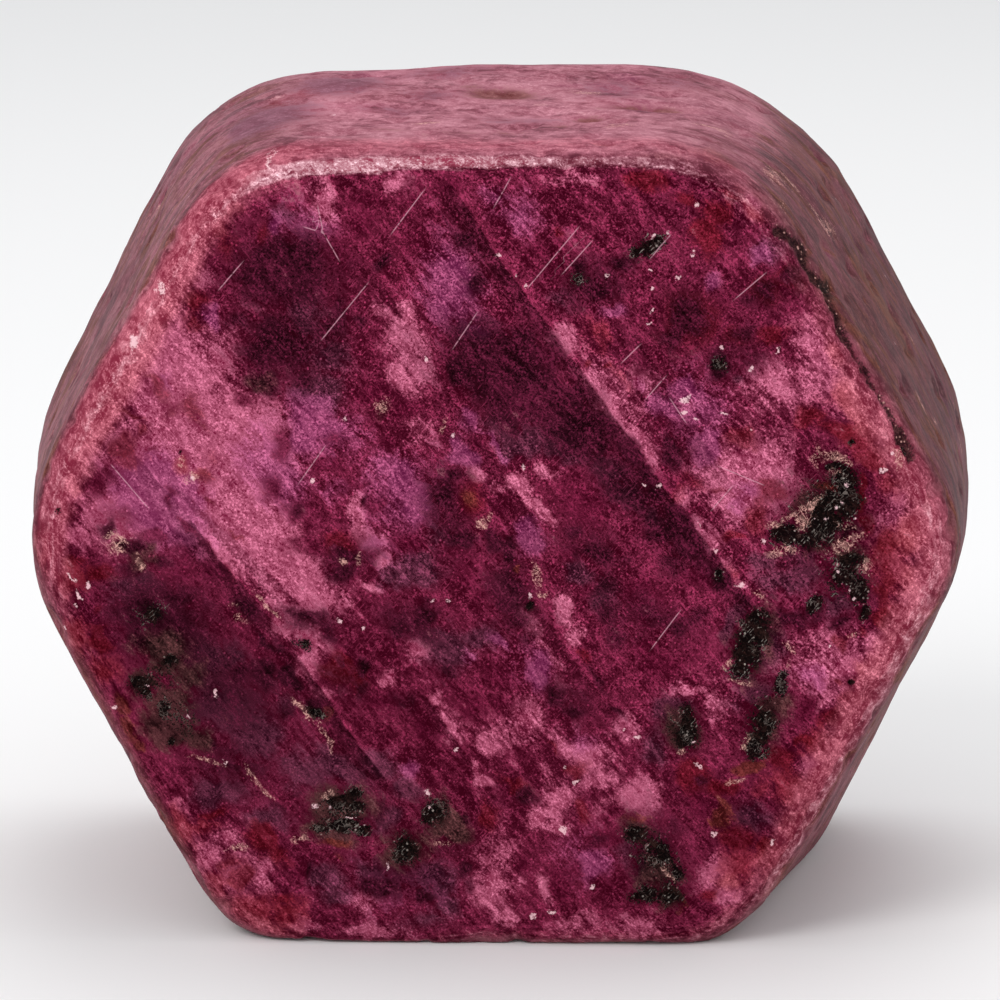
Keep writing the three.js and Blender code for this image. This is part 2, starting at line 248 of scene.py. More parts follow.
        (10.8, 16.8, 0.8, 0.35, -60), (10.2, 18.3, 0.5, 0.25, -62, 0.7), (12.6, 13, 0.45, 0.6, 0, 0.9),
        (12.6, 11.5, 0.4, 0.7, 0, 0.6), (11.5, 8.9, 0.5, 0.35, 40, 0.7), (10, 5.6, 0.3, 0.6, -30, 0.6),
        (7.2, 2.1, 0.4, 0.3, 0, 0.6), (-12.6, 9, 0.4, 0.6, -30, 0.5), (-8.6, 14.6, 0.3, 0.2, 0, 0.6),
        (7.7, 22.5, 0.5, 0.25, -35, 0.7), (-11.6, 17.2, 0.6, 0.4, 0, 0.6), (12.3, 14.9, 0.2, 0.5, 10, 0.6),
    ],
    "crimson": [
        (-6.6, 21.8, 0.4, 0.3, 0, 0.8), (-8.6, 19.8, 0.3, 0.3, 0, 0.8), (-8.7, 19.2, 0.25, 0.3, 0, 0.8),
        (-9, 19, 0.2, 0.3, 0, 0.7), (-7.5, 22.4, 0.3, 0.25, 0, 0.6), (-7.9, 21.5, 0.4, 0.4, 0, 0.6),
        (-10, 17.3, 0.8, 0.2, -50, 0.7), (-9.4, 16.6, 0.35, 0.35, -40, 0.6),
        (-11.3, 16.75, 0.3, 0.15, -25, 0.9), (-10.7, 16.4, 0.5, 0.1, -27, 0.9),
        (-10.5, 15.8, 0.25, 0.3, 0, 0.7), (-10.9, 15.5, 0.45, 0.25, 0, 0.8), (-10, 15.2, 0.3, 0.15, 0, 0.6),
        (-8.8, 16.5, 0.7, 0.25, -55, 0.8), (-8.4, 16, 0.4, 0.2, -50, 0.7), (-8.5, 14.5, 0.4, 0.3, 0, 0.7),
        (-8.3, 13.65, 0.35, 0.12, -45, 0.9), (-7.6, 12.9, 0.5, 0.08, -50, 0.8),
        (-4.4, 12.6, 0.5, 0.4, 0, 0.9), (-4.5, 8.7, 0.5), (-3.9, 8.3, 0.4, 0.5, 0, 0.8),
        (-12.4, 11.8, 0.4, 0.2, 0, 0.8), (-11.7, 11.4, 0.45, 0.25, 0, 0.9), (-11.6, 9.5, 0.3, 0.35, 0, 0.9),
        (-11.7, 10.5, 0.2, 0.2, 0, 0.7), (4.6, 23.5, 0.6, 0.3, 0, 0.95), (4.6, 23.1, 0.3, 0.3, 0, 0.7),
        (6.6, 22.6, 0.5, 0.4, 0, 0.9), (5.8, 22.9, 0.4, 0.25, 0, 0.8), (6.4, 21.8, 0.4, 0.5),
        (5.9, 19.4, 0.9, 0.8, 40, 0.9), (8.8, 20.6, 0.4, 0.3, 0, 0.9), (8.2, 20.3, 0.6, 0.45, 0, 0.8),
        (8.3, 18.9, 0.6, 0.3, 10, 0.9), (7.2, 18.8, 0.4, 0.3, 0, 0.7), (3.5, 17.9, 0.15, 0.15, 0, 0.8),
        (2.9, 18, 0.15, 0.15, 0, 0.8), (1.9, 22, 0.2, 0.3, 0, 0.8), (7.5, 15.8, 0.5, 0.35, 0, 0.9),
        (8.35, 14.2, 0.5, 0.3, 0, 0.95), (8, 13.4, 0.4, 0.45, 0, 0.95), (7.3, 12.8, 0.4, 0.15, 0, 0.9),
        (9.4, 16.4, 0.4, 0.3, 0, 0.9), (10.2, 16.1, 0.6, 0.25, 0, 0.8), (6, 14.3, 0.5, 0.3, 0, 0.6),
        (6.8, 14.2, 0.4, 0.12, 0, 0.7), (11.15, 14.2, 0.15, 0.6), (11.25, 13.2, 0.2, 0.4, 0, 0.9),
        (11.9, 12.6, 0.25, 0.6, 0, 0.95), (11.65, 11.2, 0.2, 0.6, 0, 0.8), (11.7, 10.35, 0.35, 0.3),
        (11.1, 9.8, 0.2, 0.2, 0, 0.8), (10.5, 9.6, 0.3, 0.2, 0, 0.8), (10.45, 8.5, 0.12, 0.15, 0, 0.9),
        (10.5, 7.2, 0.45, 0.3, 10), (8.8, 6, 0.5, 0.4, 0, 0.95), (9.5, 6.5, 0.25, 0.15, 0, 0.9),
        (6.2, 5.3, 0.6, 0.5, -30), (7, 5, 0.5, 0.3, 0, 0.95), (7.6, 3.5, 0.6, 0.35, -10),
        (8.5, 3.2, 0.2, 0.35, 0, 0.9), (6.8, 1.6, 0.35, 0.3, 0, 0.7), (-6.8, 3.3, 0.45, 0.5),
        (-6.4, 2.8, 0.45, 0.3, 0, 0.8), (-7.5, 2.1, 0.25, 0.4, 0, 0.95), (-8.4, 4.1, 0.5, 0.18, 5, 0.95),
        (-8, 2.5, 0.3, 0.3, 0, 0.7), (-6.2, 1.4, 0.3, 0.25, 0, 0.7), (-0.1, 4, 0.25, 0.35, 0, 0.8),
        (0.8, 5.1, 0.6, 0.25, -20, 0.8), (2.6, 5.6, 0.35, 0.22, 0, 0.7), (2.9, 4.4, 0.2, 0.35, 0, 0.8),
        (1.9, 6.2, 0.35, 0.12, -40, 0.6), (-0.6, 13.8, 0.5, 0.5, 0, 0.8), (2.9, 9, 0.3, 0.2, -50, 0.7),
        (12.95, 12.3, 0.1, 0.1, 0, 0.8), (-7.8, 11.5, 0.2, 0.4, 20, 0.6),
    ],
    "wine": [
        (-3.7, 22.8, 0.4, 0.3, 0, 0.8), (-3.2, 22.7, 0.2, 0.4, 0, 0.7), (-2.2, 23, 0.25, 0.35, 0, 0.8),
        (-1.2, 23.2, 0.4, 0.3, 0, 0.8), (-3.8, 22.1, 0.5, 0.4, -20, 0.8), (-4.3, 21.2, 0.8, 0.6, -30, 0.6),
        (-2.2, 21.6, 0.8, 0.7, 0, 0.5), (-7.1, 16.8, 0.35, 0.2, -40, 0.9), (-6.2, 15.4, 0.3, 0.5, 0, 0.9),
        (-6.5, 14.2, 0.4, 0.4, -30, 0.85), (-3.4, 17.2, 0.6, 0.4, 0, 0.85), (-2.5, 16.6, 0.5, 0.4, 0, 0.8),
        (-3.6, 16.3, 0.2, 0.2, 0, 0.7), (-2.9, 15.6, 0.4, 0.25, 0, 0.9), (-4.8, 14.9, 0.4, 0.2, 0, 0.9),
        (-4.6, 15.7, 0.5, 0.3, 0, 0.6), (-4, 14.3, 0.5, 0.15, 0, 0.6), (-3.3, 13.7, 0.3, 0.3, 0, 0.8),
        (-5.7, 13.5, 0.4, 0.35, 0, 0.9), (-5.3, 13.1, 0.3, 0.2, 0, 0.9), (-5.6, 12.4, 0.5, 0.3, 0, 0.8),
        (-2.4, 12.6, 0.6, 0.4, 0, 0.8), (-1, 12.2, 0.6, 0.5, 0, 0.6), (-0.8, 11.6, 0.35, 0.4, 0, 0.8),
        (-0.3, 11.1, 0.35, 0.2, 0, 0.8), (0.4, 13.7, 0.3, 0.3, 0, 0.8), (-0.4, 15.4, 0.3, 0.2, -30, 0.8),
        (2.8, 13.7, 0.7, 0.7, 0, 0.8), (2.4, 12.2, 0.4, 0.3, 0, 0.8), (2.3, 14.3, 0.4, 0.4, 0, 0.6),
        (4.6, 11, 0.8, 0.5, 0, 0.8), (6.3, 11.6, 0.5, 0.4, 0, 0.85), (4.6, 10.3, 0.4, 0.4, 0, 0.8),
        (5.2, 8.8, 0.7, 0.4, 0, 0.8), (4.7, 9.3, 0.5, 0.4, 0, 0.7), (0.4, 7.5, 0.6, 0.25, 0, 0.75),
        (-0.5, 7.5, 0.3, 0.45, 0, 0.85), (-2, 6.8, 0.45, 0.3, -50, 0.8), (-3.3, 7.6, 0.6, 0.4, 0, 0.7),
        (0.2, 8.5, 0.6, 0.35, -20, 0.6), (-9.2, 12.2, 0.4, 0.4, 0, 0.8), (-10.1, 12.8, 0.4, 0.2, 0, 0.9),
        (-9.5, 12, 0.3, 0.2, 0, 0.8), (-8.2, 11.6, 0.5, 0.35, -20, 0.85), (-9.2, 11.6, 0.4, 0.4, 0, 0.6),
        (-11.6, 14.5, 0.5, 0.3, 0, 0.95), (-11.7, 14, 0.3, 0.3, 0, 0.8), (-10.9, 13.2, 0.8, 0.4, 0, 0.6),
        (-9.6, 13.95, 0.4, 0.1, -40, 0.8), (-8.9, 13.15, 0.35, 0.1, -50, 0.9),
        (-8.4, 12.45, 0.4, 0.12, -50, 0.9), (1.1, 2.5, 0.2, 0.5, 0, 0.8), (2.2, 1.9, 0.3, 0.5, 30, 0.9),
        (2.5, 2.4, 0.3, 0.3, 0, 0.7), (3.4, 3.4, 0.35, 0.35, 0, 0.9), (3.7, 2, 0.5, 0.4, 0, 0.6),
        (0.3, 4.8, 0.3, 0.25, 0, 0.7), (-5.8, 2.3, 0.3, 0.3, 0, 0.8), (6.3, 4.5, 0.4, 0.4, 0, 0.8),
        (9.5, 7.6, 0.35, 0.45, 0, 0.8), (7.6, 7.4, 0.4, 0.3, 0, 0.5), (2.8, 11, 0.6, 0.4, 0, 0.5),
        (1.6, 21.5, 0.5, 0.4, 0, 0.6), (1.9, 20.8, 0.4, 0.3, 0, 0.6), (1.6, 18.3, 0.4, 0.3, 0, 0.8),
        (4.6, 17.8, 0.3, 0.3, 0, 0.8), (5, 16.2, 0.35, 0.25, 0, 0.7), (4.3, 16.7, 0.25, 0.15, 0, 0.5),
        (7.2, 20.2, 0.6, 0.4, 0, 0.5), (6.2, 9.4, 0.4, 0.4, 0, 0.4), (-6.3, 20, 0.7, 0.5, 0, 0.6),
    ],
    "dark": [
        (-6, 20.6, 2, 1.3, -10, 0.75), (-5.7, 21.1, 1.1, 0.8, -30, 0.9), (-6.2, 18.5, 1.5, 1.3, -30, 0.7),
        (-4.6, 19, 1.3, 1.2, -40, 0.5), (0.5, 17.7, 2, 1.3, -35, 0.95), (2.5, 16.2, 1.7, 1, -45, 0.85),
        (4.3, 14.2, 1.6, 0.9, -50, 0.7), (5.5, 12.8, 1.5, 0.9, -40, 0.75), (3.2, 12.3, 1.3, 0.8, -30, 0.55),
        (-9.6, 9.9, 1.9, 1.5, -35, 0.7), (-8, 8, 2.2, 1.6, -45, 0.55), (-7.7, 5.8, 1.8, 0.9, -15, 0.55),
        (-5.3, 10.1, 1.2, 0.6, -10, 0.6), (5.8, 19.5, 1.3, 1, 60, 0.6), (3, 20.4, 1.2, 0.8, 20, 0.6),
        (4.9, 2.9, 1.3, 1.5, 20, 0.6), (-4.6, 4, 1.6, 1.1, 0, 0.6), (-1.5, 3.5, 1.1, 1.2, 30, 0.55),
        (-2.5, 2.2, 1.3, 0.9, 0, 0.55), (8, 9.5, 1, 1.6, -10, 0.5), (8.3, 7.2, 0.9, 1.4, -15, 0.5),
        (5.8, 7, 0.9, 1, 0, 0.5), (9.9, 13.2, 1.7, 1.9, 0, 0.55), (10.7, 11.5, 1, 1.3, 0, 0.5),
        (-1.2, 13.6, 0.8, 1.6, 15, 0.6), (0.7, 11, 0.8, 1.5, 15, 0.7), (-2.3, 10.1, 1.4, 0.7, -15, 0.55),
        (4.9, 10.3, 1.6, 0.9, -15, 0.5), (2.4, 7.9, 1, 0.8, -40, 0.5), (-4.2, 12.1, 0.9, 0.8, 0, 0.6),
        (8.3, 20.2, 1.3, 0.6, 20, 0.5), (7.4, 18.3, 1.2, 0.8, 20, 0.5), (-4.4, 8.4, 1, 0.9, 0, 0.5),
        (1, 10, 1.2, 0.7, 0, 0.5), (7.4, 3.9, 1.1, 1.1, 0, 0.4), (-0.6, 21.6, 1, 0.5, -60, 0.45),
        (5.6, 15.4, 0.7, 0.9, 10, 0.5), (-5.4, 20.9, 0.6, 0.9, -10), (-6.5, 21, 0.5, 0.7, 0, 0.9),
        (-6.9, 20.4, 0.7, 0.3, -10, 0.8), (-7.6, 20.7, 0.5, 0.4, 0, 0.6), (-6.5, 18.6, 0.8, 1, -20, 0.85),
        (-7.4, 19.2, 0.4, 0.5, 0, 0.6), (-6.6, 17.4, 0.5, 0.4, -30, 0.8), (-4.5, 19, 0.8, 0.8, -30, 0.6),
        (-5.5, 17.4, 0.3, 0.25, 0, 0.8), (-3.15, 20.9, 0.3, 0.2, 0, 0.9), (-0.8, 21.7, 0.2, 0.25, 0, 0.9),
        (-4.5, 19.7, 0.3, 0.3, 0, 0.7), (-3.8, 19.1, 0.2, 0.2, 0, 0.7), (-0.4, 20.5, 0.3, 0.4, 0, 0.8),
        (-0.8, 17.7, 0.45, 0.35), (0.1, 17.3, 0.6, 0.5, 0, 0.9), (0.2, 18.5, 0.5, 0.4, -40, 0.85),
        (1, 18.8, 0.5, 0.4, -40, 0.85), (1.85, 17.3, 0.5, 0.5, -30), (2.5, 16.9, 0.5, 0.4, -50, 0.9),
        (0.3, 16.3, 0.6, 0.4, 0, 0.7), (1.4, 16.5, 0.6, 0.35, -20, 0.85), (2.9, 16.3, 0.4, 0.4, -50, 0.9),
        (3.5, 16.2, 0.5, 0.25, -50, 0.95), (3.2, 15.5, 0.6, 0.3, -40, 0.8), (4.2, 15.5, 0.5, 0.3, -50, 0.9),
        (4.6, 14.8, 0.4, 0.2, -60, 0.9), (5, 14.1, 0.4, 0.25, -50, 0.9), (5.7, 13.3, 0.6, 0.3, -45, 0.9),
        (6.3, 12.6, 0.5, 0.2, -55, 0.8), (6.8, 11.6, 0.3, 0.35, -20), (5.2, 12.8, 0.8, 0.4, -20, 0.9),
        (3.2, 12.2, 0.7, 0.3, 0, 0.85), (2.5, 12.9, 0.3, 0.15, 0, 0.7), (3.5, 11.3, 0.6, 0.4, 0, 0.6),
        (5.5, 15.4, 0.35, 0.5, 10, 0.9), (5.7, 14.9, 0.25, 0.3, 0, 0.7), (5.8, 19.4, 0.7, 0.6, 60, 0.95),
        (5.4, 18.8, 0.4, 0.4, 0, 0.8), (6.8, 18, 0.3, 0.4), (7.4, 18.9, 0.6, 0.25, 20, 0.7),
        (2.7, 20.9, 0.4, 0.3, 0, 0.9), (3.9, 21, 0.4, 0.2, 0, 0.9), (3.2, 20.3, 0.5, 0.4, 20, 0.8),
        (8.2, 20.3, 0.5, 0.4, 0, 0.7), (8.9, 20.7, 0.4, 0.3, 20, 0.7), (7.6, 20, 0.4, 0.2, 20, 0.6),
        (-10.6, 12.4, 0.4, 0.3), (-11.4, 12.8, 0.3, 0.3, 0, 0.8), (-9.9, 12, 0.5, 0.2, -10, 0.8),
        (-10.6, 11.7, 0.5, 0.3, 0, 0.7), (-10.2, 10.3, 0.8, 0.6), (-10.4, 9.6, 0.4),
        (-9.5, 10.6, 0.6, 0.5, 0, 0.8), (-9.3, 9.6, 0.6, 0.25, -50, 0.8), (-9, 10.9, 0.5, 0.4, 0, 0.7),
        (-7.5, 8.4, 0.4, 0.4, 0, 0.85), (-6.8, 8.5, 0.4, 0.5, 0, 0.9), (-8.5, 9.6, 0.5, 0.3, -40, 0.5),
        (-6.6, 9.6, 0.5, 0.12, -55, 0.85), (-5.95, 8.4, 0.25, 0.4, 20), (-5.3, 7.4, 0.35, 0.2, -40),
        (-5.4, 10.3, 0.7, 0.25), (-4.9, 9.8, 0.3, 0.3, 0, 0.8), (-7.3, 10.5, 0.5, 0.3, -20, 0.85),
        (-8.2, 6.15, 0.2), (-7.7, 5.7, 0.25, 0.15, 0, 0.8), (-9, 6.7, 0.25, 0.2, 0, 0.8),
        (-6.1, 7.3, 0.25, 0.4, 0, 0.7), (-8.4, 7.8, 0.3, 0.2, -30, 0.6), (-8.2, 7.3, 0.25, 0.15, -30, 0.6),
        (-3.75, 8.7, 0.2, 0.35), (-3.8, 8, 0.3, 0.4, 0, 0.75), (-2.8, 9.9, 0.3, 0.35, 0, 0.8),
        (-2.1, 10.1, 0.35, 0.3, 0, 0.95), (-1.8, 10.5, 0.35, 0.3, 0, 0.9), (-1.3, 8.5, 0.4, 0.3, 0, 0.7),
        (-2.5, 7.5, 0.5, 0.3, -20, 0.6), (-1.4, 14.1, 0.35, 0.6, 10, 0.9), (-1.1, 14.6, 0.4, 0.25, 0, 0.85),
        (-0.9, 12.8, 0.4, 0.35, 0, 0.9), (0.1, 12.7, 0.4, 0.25, -30, 0.8), (0.55, 12.3, 0.2, 0.4, 20),
        (0.8, 11.3, 0.3, 0.5, 10), (0.6, 10.7, 0.6, 0.3, -10, 0.95), (1.25, 10.6, 0.25, 0.2, 0, 0.9),
        (0.9, 10.1, 0.4, 0.3, 0, 0.8), (1.3, 9.6, 0.3, 0.3, 0, 0.6), (-4.25, 12.2, 0.35, 0.3, -10),
        (-4.3, 11.5, 0.4, 0.3, 0, 0.75), (-3.7, 13.8, 0.15, 0.15, 0, 0.8), (-5.8, 13.6, 0.25, 0.2, 0, 0.6),
        (3.6, 10.4, 0.5, 0.5, 0, 0.6), (3.7, 9.7, 0.4, 0.3, 0, 0.6), (5.6, 9.9, 0.4, 0.3, 0, 0.8),
        (6.2, 10.3, 0.35, 0.3, 0, 0.7), (4.5, 9.6, 0.4, 0.25, 0, 0.5), (2.1, 8, 0.35, 0.45, 0, 0.85),
        (2.5, 7.4, 0.4, 0.25, 0, 0.7), (3.3, 8.3, 0.7, 0.13, -50, 0.7), (3.8, 7.3, 0.35, 0.13, -40, 0.8),
        (1.1, 4.8, 0.4, 0.3, 0, 0.85), (8.9, 10.3, 0.8, 0.3, 0, 0.85), (10.5, 10.2, 0.5, 0.25, 0, 0.75),
        (9.5, 12.5, 0.35, 0.15, -40, 0.8), (10.7, 12.95, 0.45, 0.15, 10, 0.9),
        (7.5, 10.8, 0.35, 0.25, -50, 0.85), (8.8, 12.1, 0.4, 0.12, 15, 0.8), (9.7, 10.5, 0.3, 0.2, 0, 0.6),
        (11.1, 10.5, 0.25, 0.3, 0, 0.7), (-3.4, 4.3, 0.4, 0.4, 0, 0.7), (-5.8, 4.75, 0.25, 0.2, 0, 0.6),
        (-6.2, 4.4, 0.4, 0.12, -40, 0.7), (-5.5, 2.5, 0.15, 0.4, 0, 0.8), (-3.3, 1.8, 0.8, 0.35, -10, 0.8),
        (-1.9, 1.6, 0.3, 0.25, -20, 0.85), (-2.6, 2, 0.5, 0.3, 0, 0.5), (-0.9, 4.1, 0.35, 0.25, -20),
        (3.3, 3.4, 0.25, 0.3, 0, 0.6), (5.6, 3.8, 0.35, 0.3, 0, 0.6), (-0.8, 2.45, 0.25, 0.3, 0, 0.9),
        (-0.5, 1.9, 0.2, 0.3, 20, 0.5), (6.5, 5.2, 0.3, 0.35, 0, 0.7), (5.9, 1.4, 0.3, 0.3, 0, 0.6),
    ],
    "murk": [
        (-9.8, 9.3, 0.7, 0.4, 0, 0.9), (-9.6, 8.8, 0.5, 0.3), (-10.4, 8.1, 0.5, 0.4, 0, 0.9),
        (-10.1, 6.9, 0.45, 0.6), (-9.5, 7.6, 0.5, 0.4), (-9.4, 6.7, 0.6, 0.4),
        (-8.6, 6.4, 0.45, 0.4, 0, 0.9), (-9, 8.4, 0.5, 0.4, 0, 0.8), (-4.6, 3.3, 0.7, 0.3, 0, 0.8),
        (-4.6, 4.3, 0.9, 0.6, 0, 0.8), (-5.2, 3.7, 0.5, 0.4, 0, 0.8), (-1.5, 4.2, 0.6, 0.5),
        (-1.2, 3.6, 0.6, 0.3), (-2.5, 3, 0.6, 0.6, 0, 0.9), (5.2, 2.4, 0.7, 0.8, 0, 0.8),
        (4.4, 3.7, 0.5, 0.45, 0, 0.8), (5.5, 1.6, 0.6, 0.35, 0, 0.9), (9.3, 13.9, 0.6, 0.4, 35, 0.7),
        (10, 12.6, 0.6, 0.3, 20, 0.6), (10.9, 12.1, 0.5, 0.4, 0, 0.9), (8.6, 7.7, 0.35, 0.3),
        (8.3, 7, 0.5, 0.8, -20, 0.8), (-3.2, 16.6, 0.4, 0.3, 0, 0.5), (-10.3, 12, 0.4, 0.4, 0, 0.6),
        (7.9, 9.5, 0.6, 1.1, -12, 0.7), (5.9, 6.8, 0.5, 0.7, 0, 0.8), (10.1, 13.8, 1, 1, 30, 0.7),
        (-6.7, 17.4, 0.5, 0.3, 0, 0.5), (10.3, 15.1, 0.5, 0.3, 0, 0.6),
    ],
    "rust": [
        (8.2, 23.3, 1.2, 0.5, -50, 0.75), (9.2, 22, 0.9, 0.45, -55, 0.6), (-11.05, 7.5, 0.22, 0.4, 25),
        (-10.9, 6.7, 0.2, 0.45, 20), (-10.6, 6.2, 0.2, 0.3, 0, 0.9), (-4.85, 7.3, 0.15, 0.22),
        (7.9, 5.7, 0.4, 0.18), (7.5, 5.6, 0.3, 0.15, 0, 0.8), (7, 4.2, 0.35, 0.5),
        (9.3, 4.15, 0.6, 0.2, 45, 0.8), (10.8, 6.9, 0.2, 0.35, 10), (12, 15.5, 0.28, 0.25),
        (13.05, 13.8, 0.12, 0.35, 0, 0.9), (12.8, 10.4, 0.15, 0.6, -25, 0.8),
        (12.5, 9.5, 0.15, 0.5, -25, 0.7), (-0.6, 13.9, 0.35, 0.35, 0, 0.7), (0.85, 11.8, 0.12, 0.2, 0, 0.8),
        (10.1, 14.3, 0.5, 0.2, 0, 0.8), (-4.7, 3.2, 0.5, 0.15, 0, 0.8), (-4.6, 2.7, 0.3, 0.3, 0, 0.6),
        (5.9, 1.3, 0.25, 0.25, 0, 0.8), (4.4, 4.1, 0.5, 0.15, 0, 0.6), (8.2, 23.6, 1, 0.5, -40, 0.8),
        (7, 24, 1, 0.25, 0, 0.7), (5.2, 24.1, 1.2, 0.2, 0, 0.6), (9.4, 3.6, 0.2, 0.5, -30, 0.6),
        (10.3, 5.6, 0.2, 0.6, -30, 0.6),
    ],
    "tan": [
        (8.1, 23.6, 0.5, 0.3, -40, 0.55), (8.8, 22.7, 0.45, 0.25, -50, 0.5), (9.3, 13.65, 0.7, 0.09, 33),
        (9.35, 13.3, 0.2, 0.3, -20, 0.9), (8.5, 13.15, 0.2, 0.09, 10), (8.7, 12.35, 0.4, 0.14, 10),
        (10.6, 12.6, 0.6, 0.18, 28, 0.9), (10.3, 15.25, 0.5, 0.12, -20, 0.8),
        (9.7, 15.3, 0.15, 0.35, 0, 0.7), (10.3, 14.78, 0.2, 0.08, 0, 0.8), (11.25, 11.9, 0.2, 0.3, 0, 0.7),
        (12.1, 15.2, 0.12, 0.3), (-8.55, 5.8, 0.5, 0.07, -15, 0.9), (-7.1, 5.3, 0.35, 0.08, -50),
        (-6.7, 4.8, 0.25, 0.09, -60), (-10.45, 11.9, 0.1, 0.3, 10, 0.9), (-11.15, 12.5, 0.35, 0.28, 0, 0.9),
        (-5.6, 7.4, 0.6, 0.07, -50, 0.9), (-4.9, 6.5, 0.5, 0.07, -70, 0.7), (-0.15, 13.15, 0.3, 0.11, 55),
        (7.1, 8.9, 0.2, 0.1, 50, 0.8), (7.55, 8.35, 0.3, 0.07, -10, 0.8), (7.75, 6.4, 0.1, 0.25, -20, 0.8),
        (7.4, 5.3, 0.25, 0.08, 5), (5.8, 6.15, 0.2, 0.08, 10, 0.8), (-4.9, 4.7, 0.2, 0.12, 30, 0.8),
        (-5.7, 3.35, 0.2, 0.08, 0, 0.9), (5.5, 2.3, 0.3, 0.1, -40, 0.6), (-3.85, 12.1, 0.08, 0.25, 0, 0.7),
        (-4.4, 11.95, 0.15, 0.1, 0, 0.8), (1.45, 11.6, 0.12, 0.35, 10, 0.9), (1.65, 11, 0.2, 0.1, 0, 0.7),
        (-9.1, 14.9, 0.15, 0.25, 0, 0.7), (-8.9, 14.45, 0.2, 0.15, 0, 0.8), (-3.15, 16.7, 0.2, 0.2, 0, 0.6),
        (-1.35, 16.1, 0.07, 0.2, 0, 0.8), (-7.5, 10.2, 0.35, 0.12, -30, 0.6),
        (-7.6, 10.6, 0.2, 0.1, 0, 0.5), (9, 9.4, 0.3, 0.1, -30, 0.6), (8.95, 9, 0.08, 0.2, 0, 0.6),
        (10.9, 9.8, 0.15, 0.12, 0, 0.8), (-1.4, 3.25, 0.3, 0.12, 0, 0.6), (-7.6, 3.03, 0.4, 0.08, 0, 0.8),
        (10.6, 13.2, 0.4, 0.15, 0, 0.4), (-6.6, 10.55, 0.6, 0.07, -48, 0.8),
        (8.1, 11.05, 0.3, 0.1, -30, 0.7),
    ],
    "spot": [
        (-12, 11.15, 0.12), (-12.3, 10.85, 0.08, 0.25, 30), (-12.4, 10.5, 0.13, 0.08),
        (-12.45, 11.4, 0.25, 0.05, -50), (-12.75, 9.8, 0.1), (-11.3, 7.35, 0.13, 0.1),
        (-8, 5.75, 0.1, 0.12), (-5.3, 4.35, 0.13, 0.12), (-1.8, 4.9, 0.12), (-1.8, 4.35, 0.08),
        (6.75, 12.35, 0.11), (6.25, 13.1, 0.16, 0.06, -50), (7.5, 11.35, 0.18, 0.1),
        (8.2, 12.65, 0.13, 0.08, -30), (11.7, 14.85, 0.13, 0.1), (10.65, 14.4, 0.1, 0.08),
        (5, 14.3, 0.1, 0.12), (-3.7, 9.9, 0.12, 0.1, 30), (-4.5, 10.15, 0.12), (6.3, 5.75, 0.18, 0.08, -30),
        (8.6, 3.35, 0.1), (1.2, 10.95, 0.1, 0.12), (2.2, 3.7, 0.2, 0.12), (1.9, 1.15, 0.13, 0.08),
        (1.4, 0.95, 0.1), (3.1, 1.9, 0.08, 0.15, 20), (6.8, 3.6, 0.07, 0.12), (-1, 6.2, 0.1),
        (4.45, 6.6, 0.15, 0.1), (4.1, 6.85, 0.12, 0.1), (2.3, 5.7, 0.1, 0.08), (2.65, 5.2, 0.12, 0.08),
        (4.85, 21.8, 0.1), (5.3, 21.9, 0.1, 0.07), (6, 21.3, 0.1), (6.05, 22.75, 0.1), (4.8, 20.8, 0.08),
        (5.55, 20.6, 0.08), (4.8, 20.2, 0.08), (4.8, 19.6, 0.08), (4.75, 19.2, 0.08), (6.9, 18.45, 0.08),
        (7.7, 17.85, 0.08), (3.5, 20.6, 0.08), (8.5, 18.4, 0.12), (-1.85, 18.1, 0.1), (0.3, 21.2, 0.08),
        (0.8, 20.6, 0.08), (1.1, 20.3, 0.08), (5.85, 16.95, 0.15, 0.12), (5.8, 16.6, 0.08),
        (6.15, 16.35, 0.1, 0.08), (6.9, 16.5, 0.15, 0.06), (7.8, 16.1, 0.07), (1.05, 14.9, 0.08, 0.12),
        (-5.25, 14.4, 0.1), (-4.3, 16.3, 0.12, 0.15), (-8.85, 14.4, 0.1), (10.1, 9.5, 0.15, 0.06, 40),
        (-3, 2.55, 0.07, 0.2), (-6.5, 23.85, 0.1, 0.25, 20), (-6.4, 24.1, 0.08, 0.2, 20),
        (10.3, 13.7, 0.08), (10.5, 13.85, 0.07), (9.7, 13.35, 0.06), (10.05, 13.4, 0.06),
        (10.85, 13.4, 0.07), (10.4, 11.75, 0.08), (10.7, 11.15, 0.1, 0.06), (10.9, 10.9, 0.08),
        (-4.85, 4.3, 0.07), (-4.2, 4, 0.15, 0.05), (-3.8, 3.8, 0.06, 0.08), (6.15, 6.45, 0.1, 0.05, 50),
        (-9.7, 20.1, 0.2, 0.25), (-10.55, 18.5, 0.15, 0.25), (-8.8, 23.2, 0.2), (11.9, 15.3, 0.08),
        (-8.2, 7.85, 0.1), (-9.1, 7.15, 0.1), (-10.2, 8.1, 0.1, 0.05, -40), (4.6, 14.35, 0.07),
        (-1.6, 10.75, 0.08), (-1.2, 10.75, 0.07), (-1, 15.8, 0.1),
    ],
    "black": [
        (-4.5, 4.25, 0.75, 0.65, 0, 0.5), (-2.65, 3.15, 0.5, 0.5, 0, 0.4), (-1.7, 4.4, 0.55, 0.45, 0, 0.35),
        (5, 3, 0.6, 0.75, 20, 0.5), (5.5, 1.9, 0.55, 0.6, 0, 0.45), (7.75, 9.6, 0.5, 0.95, -10, 0.5),
        (8.1, 7.2, 0.45, 1, -15, 0.45), (5.8, 7, 0.5, 0.7, 0, 0.45), (9.9, 13.6, 1.1, 1.1, 0, 0.4),
        (10.6, 11.7, 0.75, 0.95, 0, 0.45), (-10.2, 10.3, 0.7, 0.5, 0, 0.35), (-10, 8.2, 0.7, 0.6, 0, 0.4),
